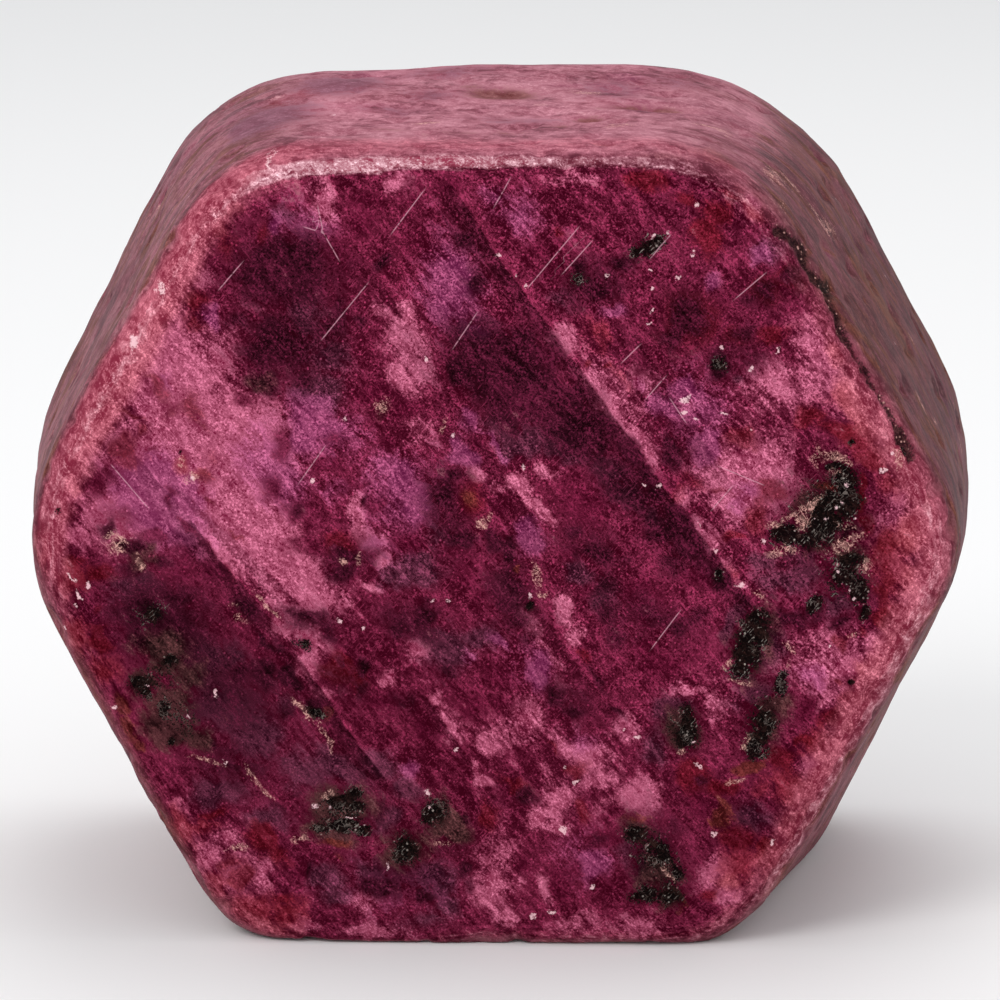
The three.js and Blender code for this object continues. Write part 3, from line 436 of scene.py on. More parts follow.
        (-9.3, 7, 0.7, 0.7, 0, 0.35), (4.6, 21.5, 0.6, 0.35, 30, 0.45), (10.6, 14.5, 0.35, 0.45, 10),
        (10.25, 14.95, 0.3, 0.14, 0, 0.8), (10, 13.75, 0.5, 0.35, 20), (10.7, 13.9, 0.35, 0.4),
        (9.8, 13.1, 0.4, 0.5, 10, 0.95), (10.2, 13.3, 0.35, 0.3), (8.85, 12.85, 0.4, 0.33),
        (9.4, 12.75, 0.3, 0.3, 0, 0.8), (10.7, 12.1, 0.45, 0.25, 20, 0.8), (10.6, 11.6, 0.4, 0.28),
        (11, 11.15, 0.28, 0.4), (11.2, 10.55, 0.16, 0.25, 0, 0.8), (9.7, 10.75, 0.17, 0.24, -20, 0.9),
        (8, 10.3, 0.35, 0.3, 0, 0.9), (7.9, 9.8, 0.4), (7.7, 9.2, 0.35, 0.4),
        (7.5, 8.7, 0.32, 0.25, 0, 0.85), (8.78, 8.3, 0.2, 0.35, -10), (8.3, 7.1, 0.33, 0.4, -20, 0.85),
        (8.1, 6.6, 0.3, 0.3, 0, 0.9), (8.05, 6.2, 0.28), (5.95, 6.75, 0.32, 0.5, -10),
        (6, 7.3, 0.2, 0.4, 10, 0.7), (10.85, 8.35, 0.09, 0.08), (10.75, 15.67, 0.1, 0.1, 0, 0.8),
        (12.3, 15.4, 0.08, 0.1, 0, 0.8), (-4.5, 4.45, 0.45, 0.22), (-4.1, 4.7, 0.3, 0.18, 20, 0.8),
        (-4, 4.3, 0.3, 0.2, 0, 0.8), (-4.4, 3.8, 0.45, 0.2), (-3.8, 3.6, 0.2, 0.2, 0, 0.8),
        (-5.1, 3.7, 0.3, 0.2, 0, 0.7), (-1.6, 4.3, 0.35, 0.35, 0, 0.8), (-1.9, 4, 0.2, 0.2, 0, 0.7),
        (-2.5, 3, 0.33, 0.45, 0, 0.85), (4.4, 3.6, 0.4, 0.28, 0, 0.8), (5.3, 2.95, 0.35, 0.3, -30, 0.95),
        (5.7, 2.4, 0.2, 0.35, 0, 0.7), (4.75, 1.7, 0.38, 0.24), (5.5, 1.6, 0.4, 0.22, 0, 0.75),
        (4.8, 21.5, 0.42, 0.2, 35), (4.35, 21.3, 0.25, 0.15, 20, 0.8), (-5.57, 9.4, 0.25, 0.22, 0, 0.75),
        (-10.5, 8.2, 0.33, 0.22, 0, 0.9), (-10.3, 7.85, 0.25, 0.2, 0, 0.8),
        (-9.8, 7.4, 0.22, 0.28, 0, 0.75), (-9.6, 8.85, 0.35, 0.15, 10, 0.7),
        (-9.6, 6.35, 0.15, 0.15, 0, 0.7), (-10.1, 10.3, 0.4, 0.35, 0, 0.6), (6.8, 18, 0.2, 0.25, 0, 0.7),
        (-5.2, 7.3, 0.25, 0.14, -30, 0.8), (6.85, 11.6, 0.15, 0.25, 0, 0.65),
        (-9.15, 15.25, 0.08, 0.09, 0, 0.7), (-12.9, 13.4, 0.12, 0.1, 0, 0.6),
        (2.6, 20.5, 0.3, 0.2, 20, 0.6), (1.25, 10.65, 0.2, 0.15, 0, 0.7),
    ],
}
# growth lines: places on a line and how strongly it shows
growthLines = [
    (((-0.8, 22.9), (0.3, 21.2), (2.4, 18.3), (4.3, 15.6), (6.1, 13.2), (7.7, 11.0)), 1.0),
    (((4.4, 18.9), (5.9, 16.5), (7.0, 14.8)), 0.4),
    (((-3.6, 21.1), (-1.3, 17.4), (0.3, 14.9), (1.7, 12.8)), 0.3),
    (((0.9, 11.6), (2.3, 9.5), (3.8, 7.2)), 0.35),
    (((-8.75, 13.0), (-7.85, 11.8), (-6.25, 9.95), (-4.9, 7.8), (-4.3, 6.9), (-3.3, 5.5)), 0.95),
    (((-10.9, 15.7), (-9.9, 14.5), (-9.0, 13.4)), 0.35),
    (((-1.8, 7.8), (-0.9, 6.3), (0.3, 4.8)), 0.5),
    (((-9.4, 14.4), (-7.4, 12.4), (-5.2, 10.3)), 0.3),
    (((-8.9, 5.9), (-7.5, 5.4), (-6.6, 4.6)), 0.35),
]
# fine pale scratches, from one end to the other
scratches = [
    ((-1.9, 23.1), (-2.8, 21.9)), ((-7.3, 20.9), (-7.9, 20.2)), ((-3.6, 20.3), (-4.9, 18.7)),
    ((-4.9, 15.4), (-5.6, 14.4)), ((2.6, 22.0), (1.2, 20.3)), ((3.0, 21.6), (2.2, 20.7)),
    ((-0.4, 19.4), (-1.0, 18.5)), ((4.4, 18.5), (4.0, 18.1)), ((5.2, 17.6), (4.7, 17.0)),
    ((7.2, 14.3), (6.7, 13.7)), ((5.7, 10.5), (4.9, 9.4)), ((0.6, 23.4), (0.2, 22.7)),
    ((-5.0, 22.6), (-4.85, 21.85)), ((-4.85, 21.85), (-4.43, 21.1)), ((-5.35, 22.0), (-4.85, 21.85)),
    ((5.3, 21.8), (4.8, 21.2)), ((8.1, 20.7), (7.3, 20.0)),
    ((-11.2, 14.8), (-10.2, 13.6)), ((6.9, 14.9), (8.1, 14.4)), ((5.4, 16.9), (5.8, 16.3)),
]
# the dark vein that follows the upper right edge
vein = ((8.6, 22.0), (9.2, 21.4), (9.5, 20.6), (9.9, 20.2), (10.2, 19.5), (10.6, 18.7), (10.9, 18.1),
        (11.3, 17.5), (11.65, 16.9), (11.95, 16.3), (12.3, 15.6), (12.5, 15.2))
# how frosted the worn front edge is, its pale band also a painted highlight along the lit ridge, going round
# the
# stone: degrees from +X towards +Z, strength, middle of the frosted band in from the edge and its half width
edgeFrostAndHighlight = [
    (0, 0.4, 0.3, 0.4), (20, 0.25, 0.3, 0.3), (45, 0.2, 0.3, 0.3), (56, 0.4, 0.15, 0.35),
    (66, 0.5, 0.05, 0.15), (80, 0.6, 0.0, 0.15), (95, 1.0, 0.0, 0.19), (112, 1.0, 0.05, 0.19),
    (124, 0.6, 0.15, 0.22), (135, 0.4, 0.25, 0.3),
    (150, 0.45, 0.2, 0.35), (170, 0.45, 0.2, 0.35), (180, 0.4, 0.2, 0.35), (200, 0.15, 0.3, 0.4),
    (235, 0.12, 0.3, 0.4), (270, 0.3, 0.1, 0.3), (300, 0.3, 0.1, 0.3), (318, 0.6, -0.1, 0.18),
    (340, 0.6, -0.1, 0.2),
]
# the rosy band along the same edge
edgeRose = [
    (0, 0.9, 0.38, 0.65), (20, 0.8, 0.35, 0.6), (45, 0.3, 0.2, 0.4), (60, 0.5, -0.8, 1.0),
    (90, 0.6, -1.0, 1.1), (112, 0.7, -0.9, 1.1), (126, 0.9, -0.2, 0.9), (135, 1.0, 0.25, 0.7),
    (160, 1.1, 0.3, 0.75), (178, 0.9, 0.3, 0.6), (192, 0.3, 0.3, 0.5), (215, 0.2, 0.3, 0.5),
    (240, 0.5, 0.2, 0.5), (270, 0.3, 0.2, 0.4), (300, 0.4, 0.2, 0.4), (318, 0.7, 0.35, 0.7),
    (340, 0.9, 0.38, 0.65),
]
# painted shade on the sides: how far the side dust is painted in its shaded tone, going round the same way
sideShade = [
    (0, 0.9), (30, 1.0), (50, 0.9), (56, 0.2), (75, 0.0), (112, 0.0), (124, 0.4), (150, 0.5),
    (180, 0.6), (270, 0.6), (330, 0.55),
]
# marks on the top, seen from above: across, back, half width, half depth, turn, strength
topMarks = {
    "topMauve": [
        (-5, 1.9, 1.3, 1.4, 0, 0.8), (-7.4, -2, 1.5, 2.2, -20, 0.9), (-2, 0.2, 1, 0.8, 0, 0.5),
        (-1.8, 3.6, 1.5, 1, 0, 0.5), (1.9, 5.5, 2, 1, 0, 0.5), (3.4, 1, 1, 1.4, 0, 0.5),
        (-3.5, -1.4, 1.2, 0.5, -20, 0.5), (0.8, -3, 1.8, 0.6, 0, 0.45), (5.6, 2.8, 1.2, 1.4, 20, 0.4),
        (-8.9, 1, 1, 1.2, 0, 0.6), (7.4, -4.6, 1.1, 1.2, 0, 0.35),
    ],
    "topBrown": [
        (0.1, 0.5, 0.9, 0.6), (4.6, -1.2, 1, 0.35), (-0.9, 1.3, 0.4, 0.4, 0, 0.5),
        (2.9, -2.8, 0.4, 0.35, 0, 0.9), (0.5, -4.7, 0.3, 0.2, 0, 0.9), (2.1, -3.8, 0.3, 0.15, 0, 0.7),
        (3.4, -6.8, 0.3, 0.15, 0, 0.8), (-8.9, -1.7, 0.4, 0.6, 30, 0.6), (7.7, -6.8, 1.4, 0.9, 0, 0.9),
        (-3.3, -4.4, 0.9, 0.2, -20, 0.5), (-1.2, -5.2, 1.1, 0.25, 0, 0.4), (8.4, -5.6, 0.8, 0.7, 0, 0.7),
    ],
    "topFleck": [
        (1.3, -0.9, 0.3), (1.9, -1.1, 0.25, 0.25, 0, 0.8), (2.2, -0.1, 0.22, 0.3, 0, 0.7),
        (2.7, -2, 0.4, 0.35, 0, 0.7), (2.7, -4.3, 0.4, 0.2), (5.3, -0.6, 0.35, 0.4, 20, 0.8),
        (4.4, -2.8, 0.6, 0.25, 0, 0.5), (0.1, 0.4, 0.4, 0.3, 0, 0.7), (-7.1, 1, 0.5, 0.4, 20, 0.9),
        (-5.9, -6.8, 0.5, 0.3, 0, 0.9), (-6.6, -7.6, 0.7, 0.35, 10, 0.9), (-5, -5.2, 1.3, 0.8, -10, 0.55),
        (9, 0.5, 0.25, 4.5, 0, 0.5), (8.6, -5.9, 0.22, 0.3), (8.2, -6.5, 0.2, 0.25),
        (7.6, -7.3, 0.3, 0.2, 0, 0.8), (-6.3, 2.3, 0.3, 0.5, 0, 0.5),
    ],
    "topPit": [
        (2.9, -2.8, 0.4, 0.35), (0.5, -4.7, 0.25, 0.15, 0, 0.8), (2.1, -3.8, 0.25, 0.15, 0, 0.6),
        (0.1, 0.6, 0.7, 0.5, 0, 0.9), (4.6, -1.1, 0.9, 0.35), (3.4, -6.8, 0.3, 0.12, 0, 0.7),
        (7.9, -6.4, 0.5, 0.4, 0, 0.6), (1.6, -1.8, 0.4, 0.3, 0, 0.5), (-7, 0.3, 0.8, 0.5, 0, 0.5),
    ],
}


# even noise, from about -1 to 1
def cloud(points, size, layer):
    shift = Vector((layer * 7.3, layer * 3.1, layer * 5.7))
    return np.array([noise.noise(Vector(point) / size + shift) for point in points])


# from 0 at low to 1 at high
def softStep(value, low, high):
    part = np.clip((value - low) / (high - low), 0, 1)
    return part * part * (3 - 2 * part)


# an oval with its half height, turn and strength, where a short one leaves them out
def wholeOval(oval):
    return (*oval, *(oval[2], 0, 1)[len(oval) - 3:])


def ovalMask(across, up, ovals):
    mask = np.zeros(len(across))
    for centre, height, halfWidth, halfHeight, turn, strength in map(wholeOval, ovals):
        cosine, sine = math.cos(math.radians(turn)), math.sin(math.radians(turn))
        right, rise = across - centre, up - height
        reach = ((right * cosine + rise * sine) / halfWidth) ** 2
        reach += ((rise * cosine - right * sine) / halfHeight) ** 2
        mask = np.maximum(mask, strength * 2.0 ** -reach)
    return mask


# distance to the nearest of some lines, the same with its side, and how strongly that line shows
def lineField(across, up, lines, strengths, fade):
    nearest = np.full(len(across), 99.0)
    signed = np.full(len(across), 99.0)
    show = np.zeros(len(across))
    for places, strength in zip(lines, strengths):
        for start, end in zip(places, places[1:]):
            along = np.array(end) - np.array(start)
            length = np.hypot(*along)
            along = along / length
            right, rise = across - start[0], up - start[1]
            part = right * along[0] + rise * along[1]
            side = rise * along[0] - right * along[1]
            beyond = np.maximum(np.maximum(-part, part - length), 0)
            distance = np.hypot(side, beyond)
            closer = distance < nearest
            nearest = np.where(closer, distance, nearest)
            signed = np.where(closer, side, signed)
            show = np.where(closer, strength * softStep(fade - beyond, 0, fade), show)
    return nearest, signed, show


# the stone's shape

stone = {
    "voxel": 0.268,                  # mm, first even mesh
    "roundings": 6,
    "fineTo": 1.7,                   # mm behind the front plane that gets a finer mesh
    "axisHeight": 12.4,
    "smallMark": 0.17,               # marks under this half width get a finer mesh, mm
    "tinyMark": 0.1,                 # and spots and thin wisps under this one a still finer mesh
    "markMargin": 0.09,              # so far round them, mm
    # how clouds bend the marks' outlines: size of the cloud and reach, mm
    "broadBend": (0.9, 0.3),
    "fineBend": (0.5, 0.12),
    "lineBend": (1.6, 0.08),
    # clouds on the surface: size and height, mm
    "slowWave": (3.6, 0.11),
    "quickWave": (1.3, 0.03),
    "grain": (0.42, 0.010),
    "pitGrain": (0.16, 0.07),
    # how deep things are, mm
    "pitDepth": 0.13,
    "topPitDepth": 0.28,
    "stepHeight": 0.06,
    "veinDepth": 0.2,
    "chipDepth": 0.16,
    "dentDepth": 0.1,
    "veinWidth": (0.28, 0.14),       # middle value and how much it varies
    "veinTop": 23.0,                 # where it fades out
    # how many patches of each kind the sides and the back have, and their size in mm
    "patches": [
        ("dark", 40, 1.1), ("pink", 40, 1.0), ("violet", 30, 1.0), ("crimson", 34, 0.9), ("wine", 30, 1.0),
        ("plum", 24, 1.2), ("murk", 8, 1.0), ("rust", 12, 0.5), ("black", 16, 0.4), ("salmon", 10, 0.8),
        ("tan", 40, 0.2), ("spot", 50, 0.1), ("red", 14, 0.9),
    ],
    # where the front's fine texture is sharpest
    "crispPlaces": [
        (1.0, 18.5, 11.0, 8.0), (6.0, 12.0, 7.0, 6.0), (-4.0, 14.0, 8.0, 5.0, 0, 0.7),
        (0.0, 3.0, 11.0, 4.0, 0, 0.5),
    ],
}
frontPlane = cadBox[0][1] / mm


def meshCopy(nodeName, pieceName):
    piece = bpy.data.objects.new(pieceName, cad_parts[nodeName].data.copy())
    bpy.context.scene.collection.objects.link(piece)
    bm = bmesh.new()
    bm.from_mesh(piece.data)
    bmesh.ops.remove_doubles(bm, verts=bm.verts, dist=0.001 * mm)
    bm.to_mesh(piece.data)
    bm.free()
    return piece


def applyModifiers(piece):
    depsgraph = bpy.context.evaluated_depsgraph_get()
    finished = bpy.data.meshes.new_from_object(piece.evaluated_get(depsgraph))
    piece.modifiers.clear()
    piece.data = finished


def evenMesh(piece):
    remesh = piece.modifiers.new("even", "REMESH")
    remesh.mode = "VOXEL"
    remesh.voxel_size = stone["voxel"] * mm
    smooth = piece.modifiers.new("soften", "SMOOTH")
    smooth.iterations = stone["roundings"]
    applyModifiers(piece)


# a finer mesh round the points that are chosen, smoothed a few times
def refine(mesh, chosen, rounds):
    bm = bmesh.new()
    bm.from_mesh(mesh)
    bm.verts.ensure_lookup_table()
    around = {bm.verts[number] for number in np.nonzero(chosen)[0]}
    edges = [edge for edge in bm.edges if around.intersection(edge.verts)]
    made = bmesh.ops.subdivide_edges(bm, edges=edges, cuts=1, use_grid_fill=True)
    fresh = [item for item in made["geom"] if isinstance(item, bmesh.types.BMVert)]
    for _ in range(rounds):
        bmesh.ops.smooth_vert(bm, verts=fresh, factor=0.5, use_axis_x=True, use_axis_y=True, use_axis_z=True)
    bm.to_mesh(mesh)
    bm.free()


def readMesh(mesh):
    count = len(mesh.vertices)
    places, normals = np.zeros(count * 3), np.zeros(count * 3)
    mesh.vertices.foreach_get("co", places)
    mesh.vertex_normals.foreach_get("vector", normals)
    return places.reshape(-1, 3) / mm, normals.reshape(-1, 3)


# across and up, bent by clouds so that outlines drawn there come out ragged
def warped(places, size, reach):
    slow = [cloud(places, size, 11 + axis) for axis in (0, 2)]
    quick = [cloud(places, size * 0.35, 31 + axis) for axis in (0, 2)]
    return [places[:, axis] + reach * (slow[turn] + quick[turn] * 0.6) for turn, axis in enumerate((0, 2))]


# ragged patches round chosen places on the sides or the back
def surfacePatches(places, facing, count, size, seed):
    draw = random.Random(seed)
    able = np.nonzero(facing)[0]
    places = places + 0.9 * np.stack([cloud(places, 1.5, seed + axis) for axis in range(3)], axis=1)
    mask = np.zeros(len(places))
    for _ in range(count):
        centre = places[able[draw.randrange(len(able))]]
        reach = size * draw.uniform(0.6, 1.5)
        stretch = np.array([draw.uniform(1.0, 2.2), 1.0, draw.uniform(1.0, 2.2)])
        distance = (((places - centre) / (stretch * reach)) ** 2).sum(axis=1)
        mask = np.maximum(mask, draw.uniform(0.6, 1.0) * 2.0 ** -distance)
    return mask


# distance from the middle of the rounded front edge: positive on the front, negative down the sides
def edgeGap(places, normals):
    bend = np.nonzero((-normals[:, 1] > 0.62) & (-normals[:, 1] < 0.78) & (places[:, 1] < 0))[0]
    tree = kdtree.KDTree(len(bend))
    for number in bend:
        tree.insert(places[number], int(number))
    tree.balance()
    distance = np.array([tree.find(place)[2] for place in places])
    return np.where(-normals[:, 1] > 0.7, distance, -distance)


# a table's values by the angle round the stone's axis
def roundTheStone(places, table):
    angle = np.degrees(np.arctan2(places[:, 2] - stone["axisHeight"], places[:, 0]))
    columns = list(zip(*table))
    return [np.interp(angle, columns[0], column, period=360) for column in columns[1:]]


# the front gets a finer mesh, and the places of its smallest marks one or two steps finer still
def refineFront(mesh):
    places = readMesh(mesh)[0]
    refine(mesh, places[:, 1] < frontPlane + stone["fineTo"], 2)
    small, tiny, margin = stone["smallMark"], stone["tinyMark"], stone["markMargin"]
    smallOvals = [oval for name in marks for oval in marks[name] if min(oval[2:4]) < small or name == "black"]
    tinyOvals = marks["spot"] + [oval for oval in marks["tan"] if min(oval[2:4]) < tiny]
    for ovals in (smallOvals, tinyOvals):
        wide = [(x, z, width + margin, height + margin, turn, strength)
                for x, z, width, height, turn, strength in map(wholeOval, ovals)]
        places = readMesh(mesh)[0]
        marked = ovalMask(*warped(places, *stone["fineBend"]), wide) > 0.4
        refine(mesh, marked & (places[:, 1] < frontPlane + 0.8), 1)


# which part of the stone each point is on, from 0 to 1, and its distance from the front edge in mm
def stoneAreas(places, normals):
    return {
        "near": softStep(frontPlane + 2.4 - places[:, 1], 0, 1.2),
        "front": softStep(-normals[:, 1], 0.5, 0.95),
        "back": softStep(normals[:, 1], 0.5, 0.9),
        "side": 1 - softStep(np.abs(normals[:, 1]), 0.3, 0.92),
        "top": softStep(normals[:, 2], 0.75, 0.95),
        "gap": edgeGap(places, normals),
    }


# zones and small marks, each from 0 to 1
def ovalMasks(places, areas):
    masks = {}
    broad, fine = warped(places, *stone["broadBend"]), warped(places, *stone["fineBend"])
    for name, ovals in marks.items():
        flat = fine if name in ("black", "rust", "tan", "spot", "salmon") else broad
        masks[name] = ovalMask(*flat, ovals) * areas["near"]
    for number, (name, count, size) in enumerate(stone["patches"]):
        facing = (areas["near"] < 0.1) & (places[:, 2] > 0.5)
        if name == "black":          # on the sides these would be too strong
            facing &= areas["back"] > 0.5
        masks[name] = np.maximum(masks[name], surfacePatches(places, facing, count, size, number))
    for name, ovals in topMarks.items():
        masks[name] = ovalMask(places[:, 0], places[:, 1], ovals) * areas["top"]
    veinNear = lineField(*fine, [vein], [1], 0.5)[0]
    middle, change = stone["veinWidth"]
    masks["vein"] = softStep(middle + change * cloud(places, 0.8, 9) - veinNear, 0, 0.3)
    masks["vein"] *= (places[:, 1] < frontPlane + 1.8) * softStep(stone["veinTop"] - places[:, 2], 0, 1.4)
    masks["crisp"] = ovalMask(places[:, 0], places[:, 2], stone["crispPlaces"]) * areas["front"]
    return masks


# frost with a painted highlight and the rosy band on the front edge, and dust with painted sheen, light and
# shade down the sides
def edgeMasks(places, areas):
    masks = {"gap": areas["gap"], "shade": roundTheStone(places, sideShade)[0]}
    for name, table in (("frostAndHighlight", edgeFrostAndHighlight), ("rose", edgeRose)):
        strength, middle, halfWidth = roundTheStone(places, table)
        masks[name] = strength * np.exp(-((areas["gap"] - middle) / halfWidth) ** 2) * (places[:, 1] < 0)
    masks["dustAndSheen"] = areas["side"] * softStep(0.45 - areas["gap"], 0, 0.6) * (1 - 0.75 * areas["back"])
    return masks


# growth lines and scratches: which side of the line, in mm, and how strongly it shows
def lineMasks(places, areas, lineNear, lineSide, lineShow):
    even = [1] * len(scratches)
    scratchNear, scratchSide, scratchShow = lineField(places[:, 0], places[:, 2], scratches, even, 0.1)
    return {
        "lineSide": np.clip(lineSide, -3, 3),
        "lineShow": lineShow * softStep(1.6 - lineNear, 0, 0.6) * areas["front"],
        "scratchSide": np.clip(scratchSide, -1, 1),
        "scratchShow": scratchShow * (scratchNear < 0.35) * (areas["front"] > 0.5),
    }


# how far each point moves out along the surface's own direction, mm
def liftOf(places, areas, masks, lineSide, lineShow):
    def wave(name, layer):
        size, height = stone[name]
        return height * cloud(places, size, layer)

    lift = wave("slowWave", 1) * areas["side"] + wave("quickWave", 2) * (0.45 + areas["side"])
    lift += wave("grain", 3)
    step = softStep(lineSide, 0.05, -0.12) * np.exp(-np.abs(lineSide) / 1.4)
    lift -= stone["stepHeight"] * lineShow * areas["front"] * step
    lift -= softStep(masks["black"], 0.35, 0.85) * (stone["pitDepth"] + wave("pitGrain", 4))
    lift -= stone["veinDepth"] * masks["vein"] * (0.7 + 0.6 * cloud(places, 0.4, 5))
    lift -= stone["topPitDepth"] * masks["topPit"] * (0.8 + 0.6 * cloud(places, 0.5, 8))
    edge = np.exp(-(areas["gap"] / 0.7) ** 2)
    lift -= stone["chipDepth"] * softStep(cloud(places, 0.9, 6), 0.28, 0.6) * edge
    lift -= stone["dentDepth"] * softStep(cloud(places, 0.8, 7), 0.36, 0.62) * areas["side"]
    return lift


def sculpt(piece):
    refineFront(piece.data)
    places, normals = readMesh(piece.data)
    print("fine mesh", len(places), "points")

    areas = stoneAreas(places, normals)
    masks = ovalMasks(places, areas)
    lines, strengths = zip(*growthLines)
    bent = warped(places, *stone["lineBend"])
    lineNear, lineSide, lineShow = lineField(*bent, lines, strengths, 0.8)
    moved = places + normals * liftOf(places, areas, masks, lineSide, lineShow)[:, None]
    moved[:, 2] = np.maximum(moved[:, 2], 0.0)
    piece.data.vertices.foreach_set("co", (moved * mm).ravel())

    del masks["topPit"]
    masks.update(edgeMasks(places, areas))
    masks.update(lineMasks(places, areas, lineNear, lineSide, lineShow))
    for name, values in masks.items():
        layer = piece.data.attributes.new(name, "FLOAT", "POINT")
        layer.data.foreach_set("value", values.astype(np.float32))
    for polygon in piece.data.polygons:
        polygon.use_smooth = True
    piece.data.update()


# finishes

# each zone is a pair: its deep tone and its pale one
ruby = {
    "stone": ((58, 0, 19), (146, 46, 80)),
    "plum": ((36, 4, 20), (122, 58, 82)),
    "pink": ((124, 20, 58), (220, 120, 152)),
    "violet": ((106, 26, 70), (188, 92, 136)),
    "red": ((90, 4, 16), (160, 54, 68)),
    "salmon": ((128, 32, 50), (204, 104, 116)),
    "crimson": ((62, 0, 4), (126, 24, 38)),
    "wine": ((58, 0, 20), (118, 28, 60)),
    "dark": ((14, 0, 3), (86, 22, 46)),
    "murk": ((20, 8, 8), (104, 62, 62)),
    "rust": ((52, 8, 6), (126, 54, 48)),
    "black": ((8, 5, 5), (54, 32, 29)),
    "vein": ((12, 5, 6), (96, 60, 56)),
    "rose": ((132, 40, 62), (218, 122, 140)),
    # frosted wear on the edge, with a painted highlight along the ridge
    "frostAndHighlight": ((150, 58, 80), (248, 200, 210)),
    # the side dust as a painted lit copy, paler for sheen and the light from above, and a painted shaded copy
    "dustPaintedLit": ((156, 80, 98), (218, 152, 166)),
    "dustPaintedShaded": ((48, 20, 19), (112, 62, 54)),
    "sideBrown": ((70, 30, 18), (146, 86, 60)),
    "sideMauve": ((62, 34, 40), (120, 80, 84)),
    "sideDark": ((40, 18, 24), (88, 52, 58)),
    "topMauve": ((96, 42, 62), (146, 92, 112)),
    "topBrown": ((92, 36, 34), (150, 92, 92)),
    "topFleck": ((180, 108, 118), (226, 172, 178)),
    # single tones
    # pale flecks and painted glints, that is painted highlights, on the black grains
    "paleGrainAndGlint": (214, 200, 190),
    "tan": (214, 160, 150),
    "spot": (244, 200, 206),
    "scratch": (218, 158, 176),
    # zones in the order they are laid: how much, where the ragged mark starts and is full, raggedness
    "zones": {
        "plum": (0.85, 0.2, 0.7, 1.0), "pink": (0.85, 0.2, 0.7, 1.0), "violet": (0.75, 0.2, 0.7, 1.0),
        "red": (0.7, 0.2, 0.7, 1.0), "salmon": (0.8, 0.2, 0.7, 0.6), "crimson": (0.75, 0.2, 0.7, 1.0),
        "wine": (0.85, 0.2, 0.7, 1.0), "dark": (0.95, 0.2, 0.7, 1.0), "murk": (0.85, 0.2, 0.7, 1.0),
        "rust": (0.85, 0.35, 0.75, 1.0),
    },
    "topZones": {
        "topMauve": (0.8, 0.2, 0.7, 1.0), "topBrown": (0.9, 0.2, 0.7, 1.0),
        "topFleck": (0.7, 0.6, 0.95, 1.0),
    },
    # drawn-out clouds: direction in degrees from +X towards +Z, how many times longer than wide,
    # then as below
    "big": (54.5, 2.4, 2.3, 3, 0.6, 0.4),
    "patches": (50.5, 3.2, 0.5, 5, 0.68, 0.5),
    "small": (46.5, 2.4, 0.2, 4, 0.72, 0.3),
    "lean": (51.5, 7, 0.055, 1, 0.5, 0.0),
    "rise": (-50, 8, 0.05, 1, 0.5, 0.0),
    # even clouds: size in mm, detail, roughness, distortion
    "fine": (0.07, 1, 0.9, 0.0),
    "worms": (0.16, 1, 0.6, 0.8),
    "wrinkles": (0.16, 3, 0.7, 0.3),
    "bands": (1.2, 4, 0.6, 1.2),
    "mosaic": (50.5, 1.5, 0.62),     # direction, stretch and size of the cells
    "speckSpacing": 0.13,            # mm
    "bumpDepth": 0.04,               # mm
    "specular": 0.015,
    "dustCoat": 0.04,
    "coatRoughness": 0.25,
}


# a colour in screen steps from 0 to 255, as Blender's own
def tint(red, green, blue):
    channels = [channel / 255 for channel in (red, green, blue)]
    return (*[c / 12.92 if c <= 0.04045 else ((c + 0.055) / 1.055) ** 2.4 for c in channels], 1)


# a socket that can stand in a sum, such as 1 - mask * 0.5
class Wire:
    def __init__(self, tree, socket):
        self.tree, self.socket = tree, socket

    def calc(self, operation, first, second):
        maths = self.tree.nodes.new("ShaderNodeMath")
        maths.operation = operation
        plug(self.tree, maths.inputs[0], first)
        plug(self.tree, maths.inputs[1], second)
        return Wire(self.tree, maths.outputs[0])

    def __add__(self, other):
        return self.calc("ADD", self, other)

    def __radd__(self, other):
        return self.calc("ADD", other, self)

    def __sub__(self, other):
        return self.calc("SUBTRACT", self, other)

    def __rsub__(self, other):
        return self.calc("SUBTRACT", other, self)

    def __mul__(self, other):
        return self.calc("MULTIPLY", self, other)

    def __rmul__(self, other):
        return self.calc("MULTIPLY", other, self)

    def __abs__(self):
        return self.calc("ABSOLUTE", self, 0)

    def __or__(self, other):         # the higher of two
        return self.calc("MAXIMUM", self, other)

    def __and__(self, other):        # the lower of two
        return self.calc("MINIMUM", self, other)


def plug(tree, slot, value):
    if isinstance(value, Wire):
        tree.links.new(value.socket, slot)
    else:
        slot.default_value = value


class Finish:
    def __init__(self, name):
        self.material = bpy.data.materials.new(name)
        self.material.use_nodes = True
        self.tree = self.material.node_tree
        self.surface = self.tree.nodes["Principled BSDF"]

    def node(self, kind, settings=None, values=None, output=0):
        made = self.tree.nodes.new("ShaderNode" + kind)
        for name, value in (settings or {}).items():
            setattr(made, name, value)
        for name, value in (values or {}).items():
            plug(self.tree, made.inputs[name], value)
        return Wire(self.tree, made.outputs[output])

    def set(self, name, value):
        plug(self.tree, self.surface.inputs[name], value)

    def mark(self, name):
        return self.node("Attribute", {"attribute_name": name}, output="Fac")

    def clouds(self, place, size, detail, roughness, distortion):
        values = {"Vector": place, "Scale": 1 / size, "Detail": detail, "Roughness": roughness,
                  "Distortion": distortion}
        return self.node("TexNoise", {}, values)

    def between(self, value, low, high):
        values = {"Value": value, "From Min": low, "From Max": high}
        return self.node("MapRange", {"interpolation_type": "SMOOTHSTEP"}, values)

    def blend(self, factor, first, second, clamped=True):
        values = {0: factor, 6: first, 7: second}
        return self.node("Mix", {"data_type": "RGBA", "clamp_factor": clamped}, values, output=2)


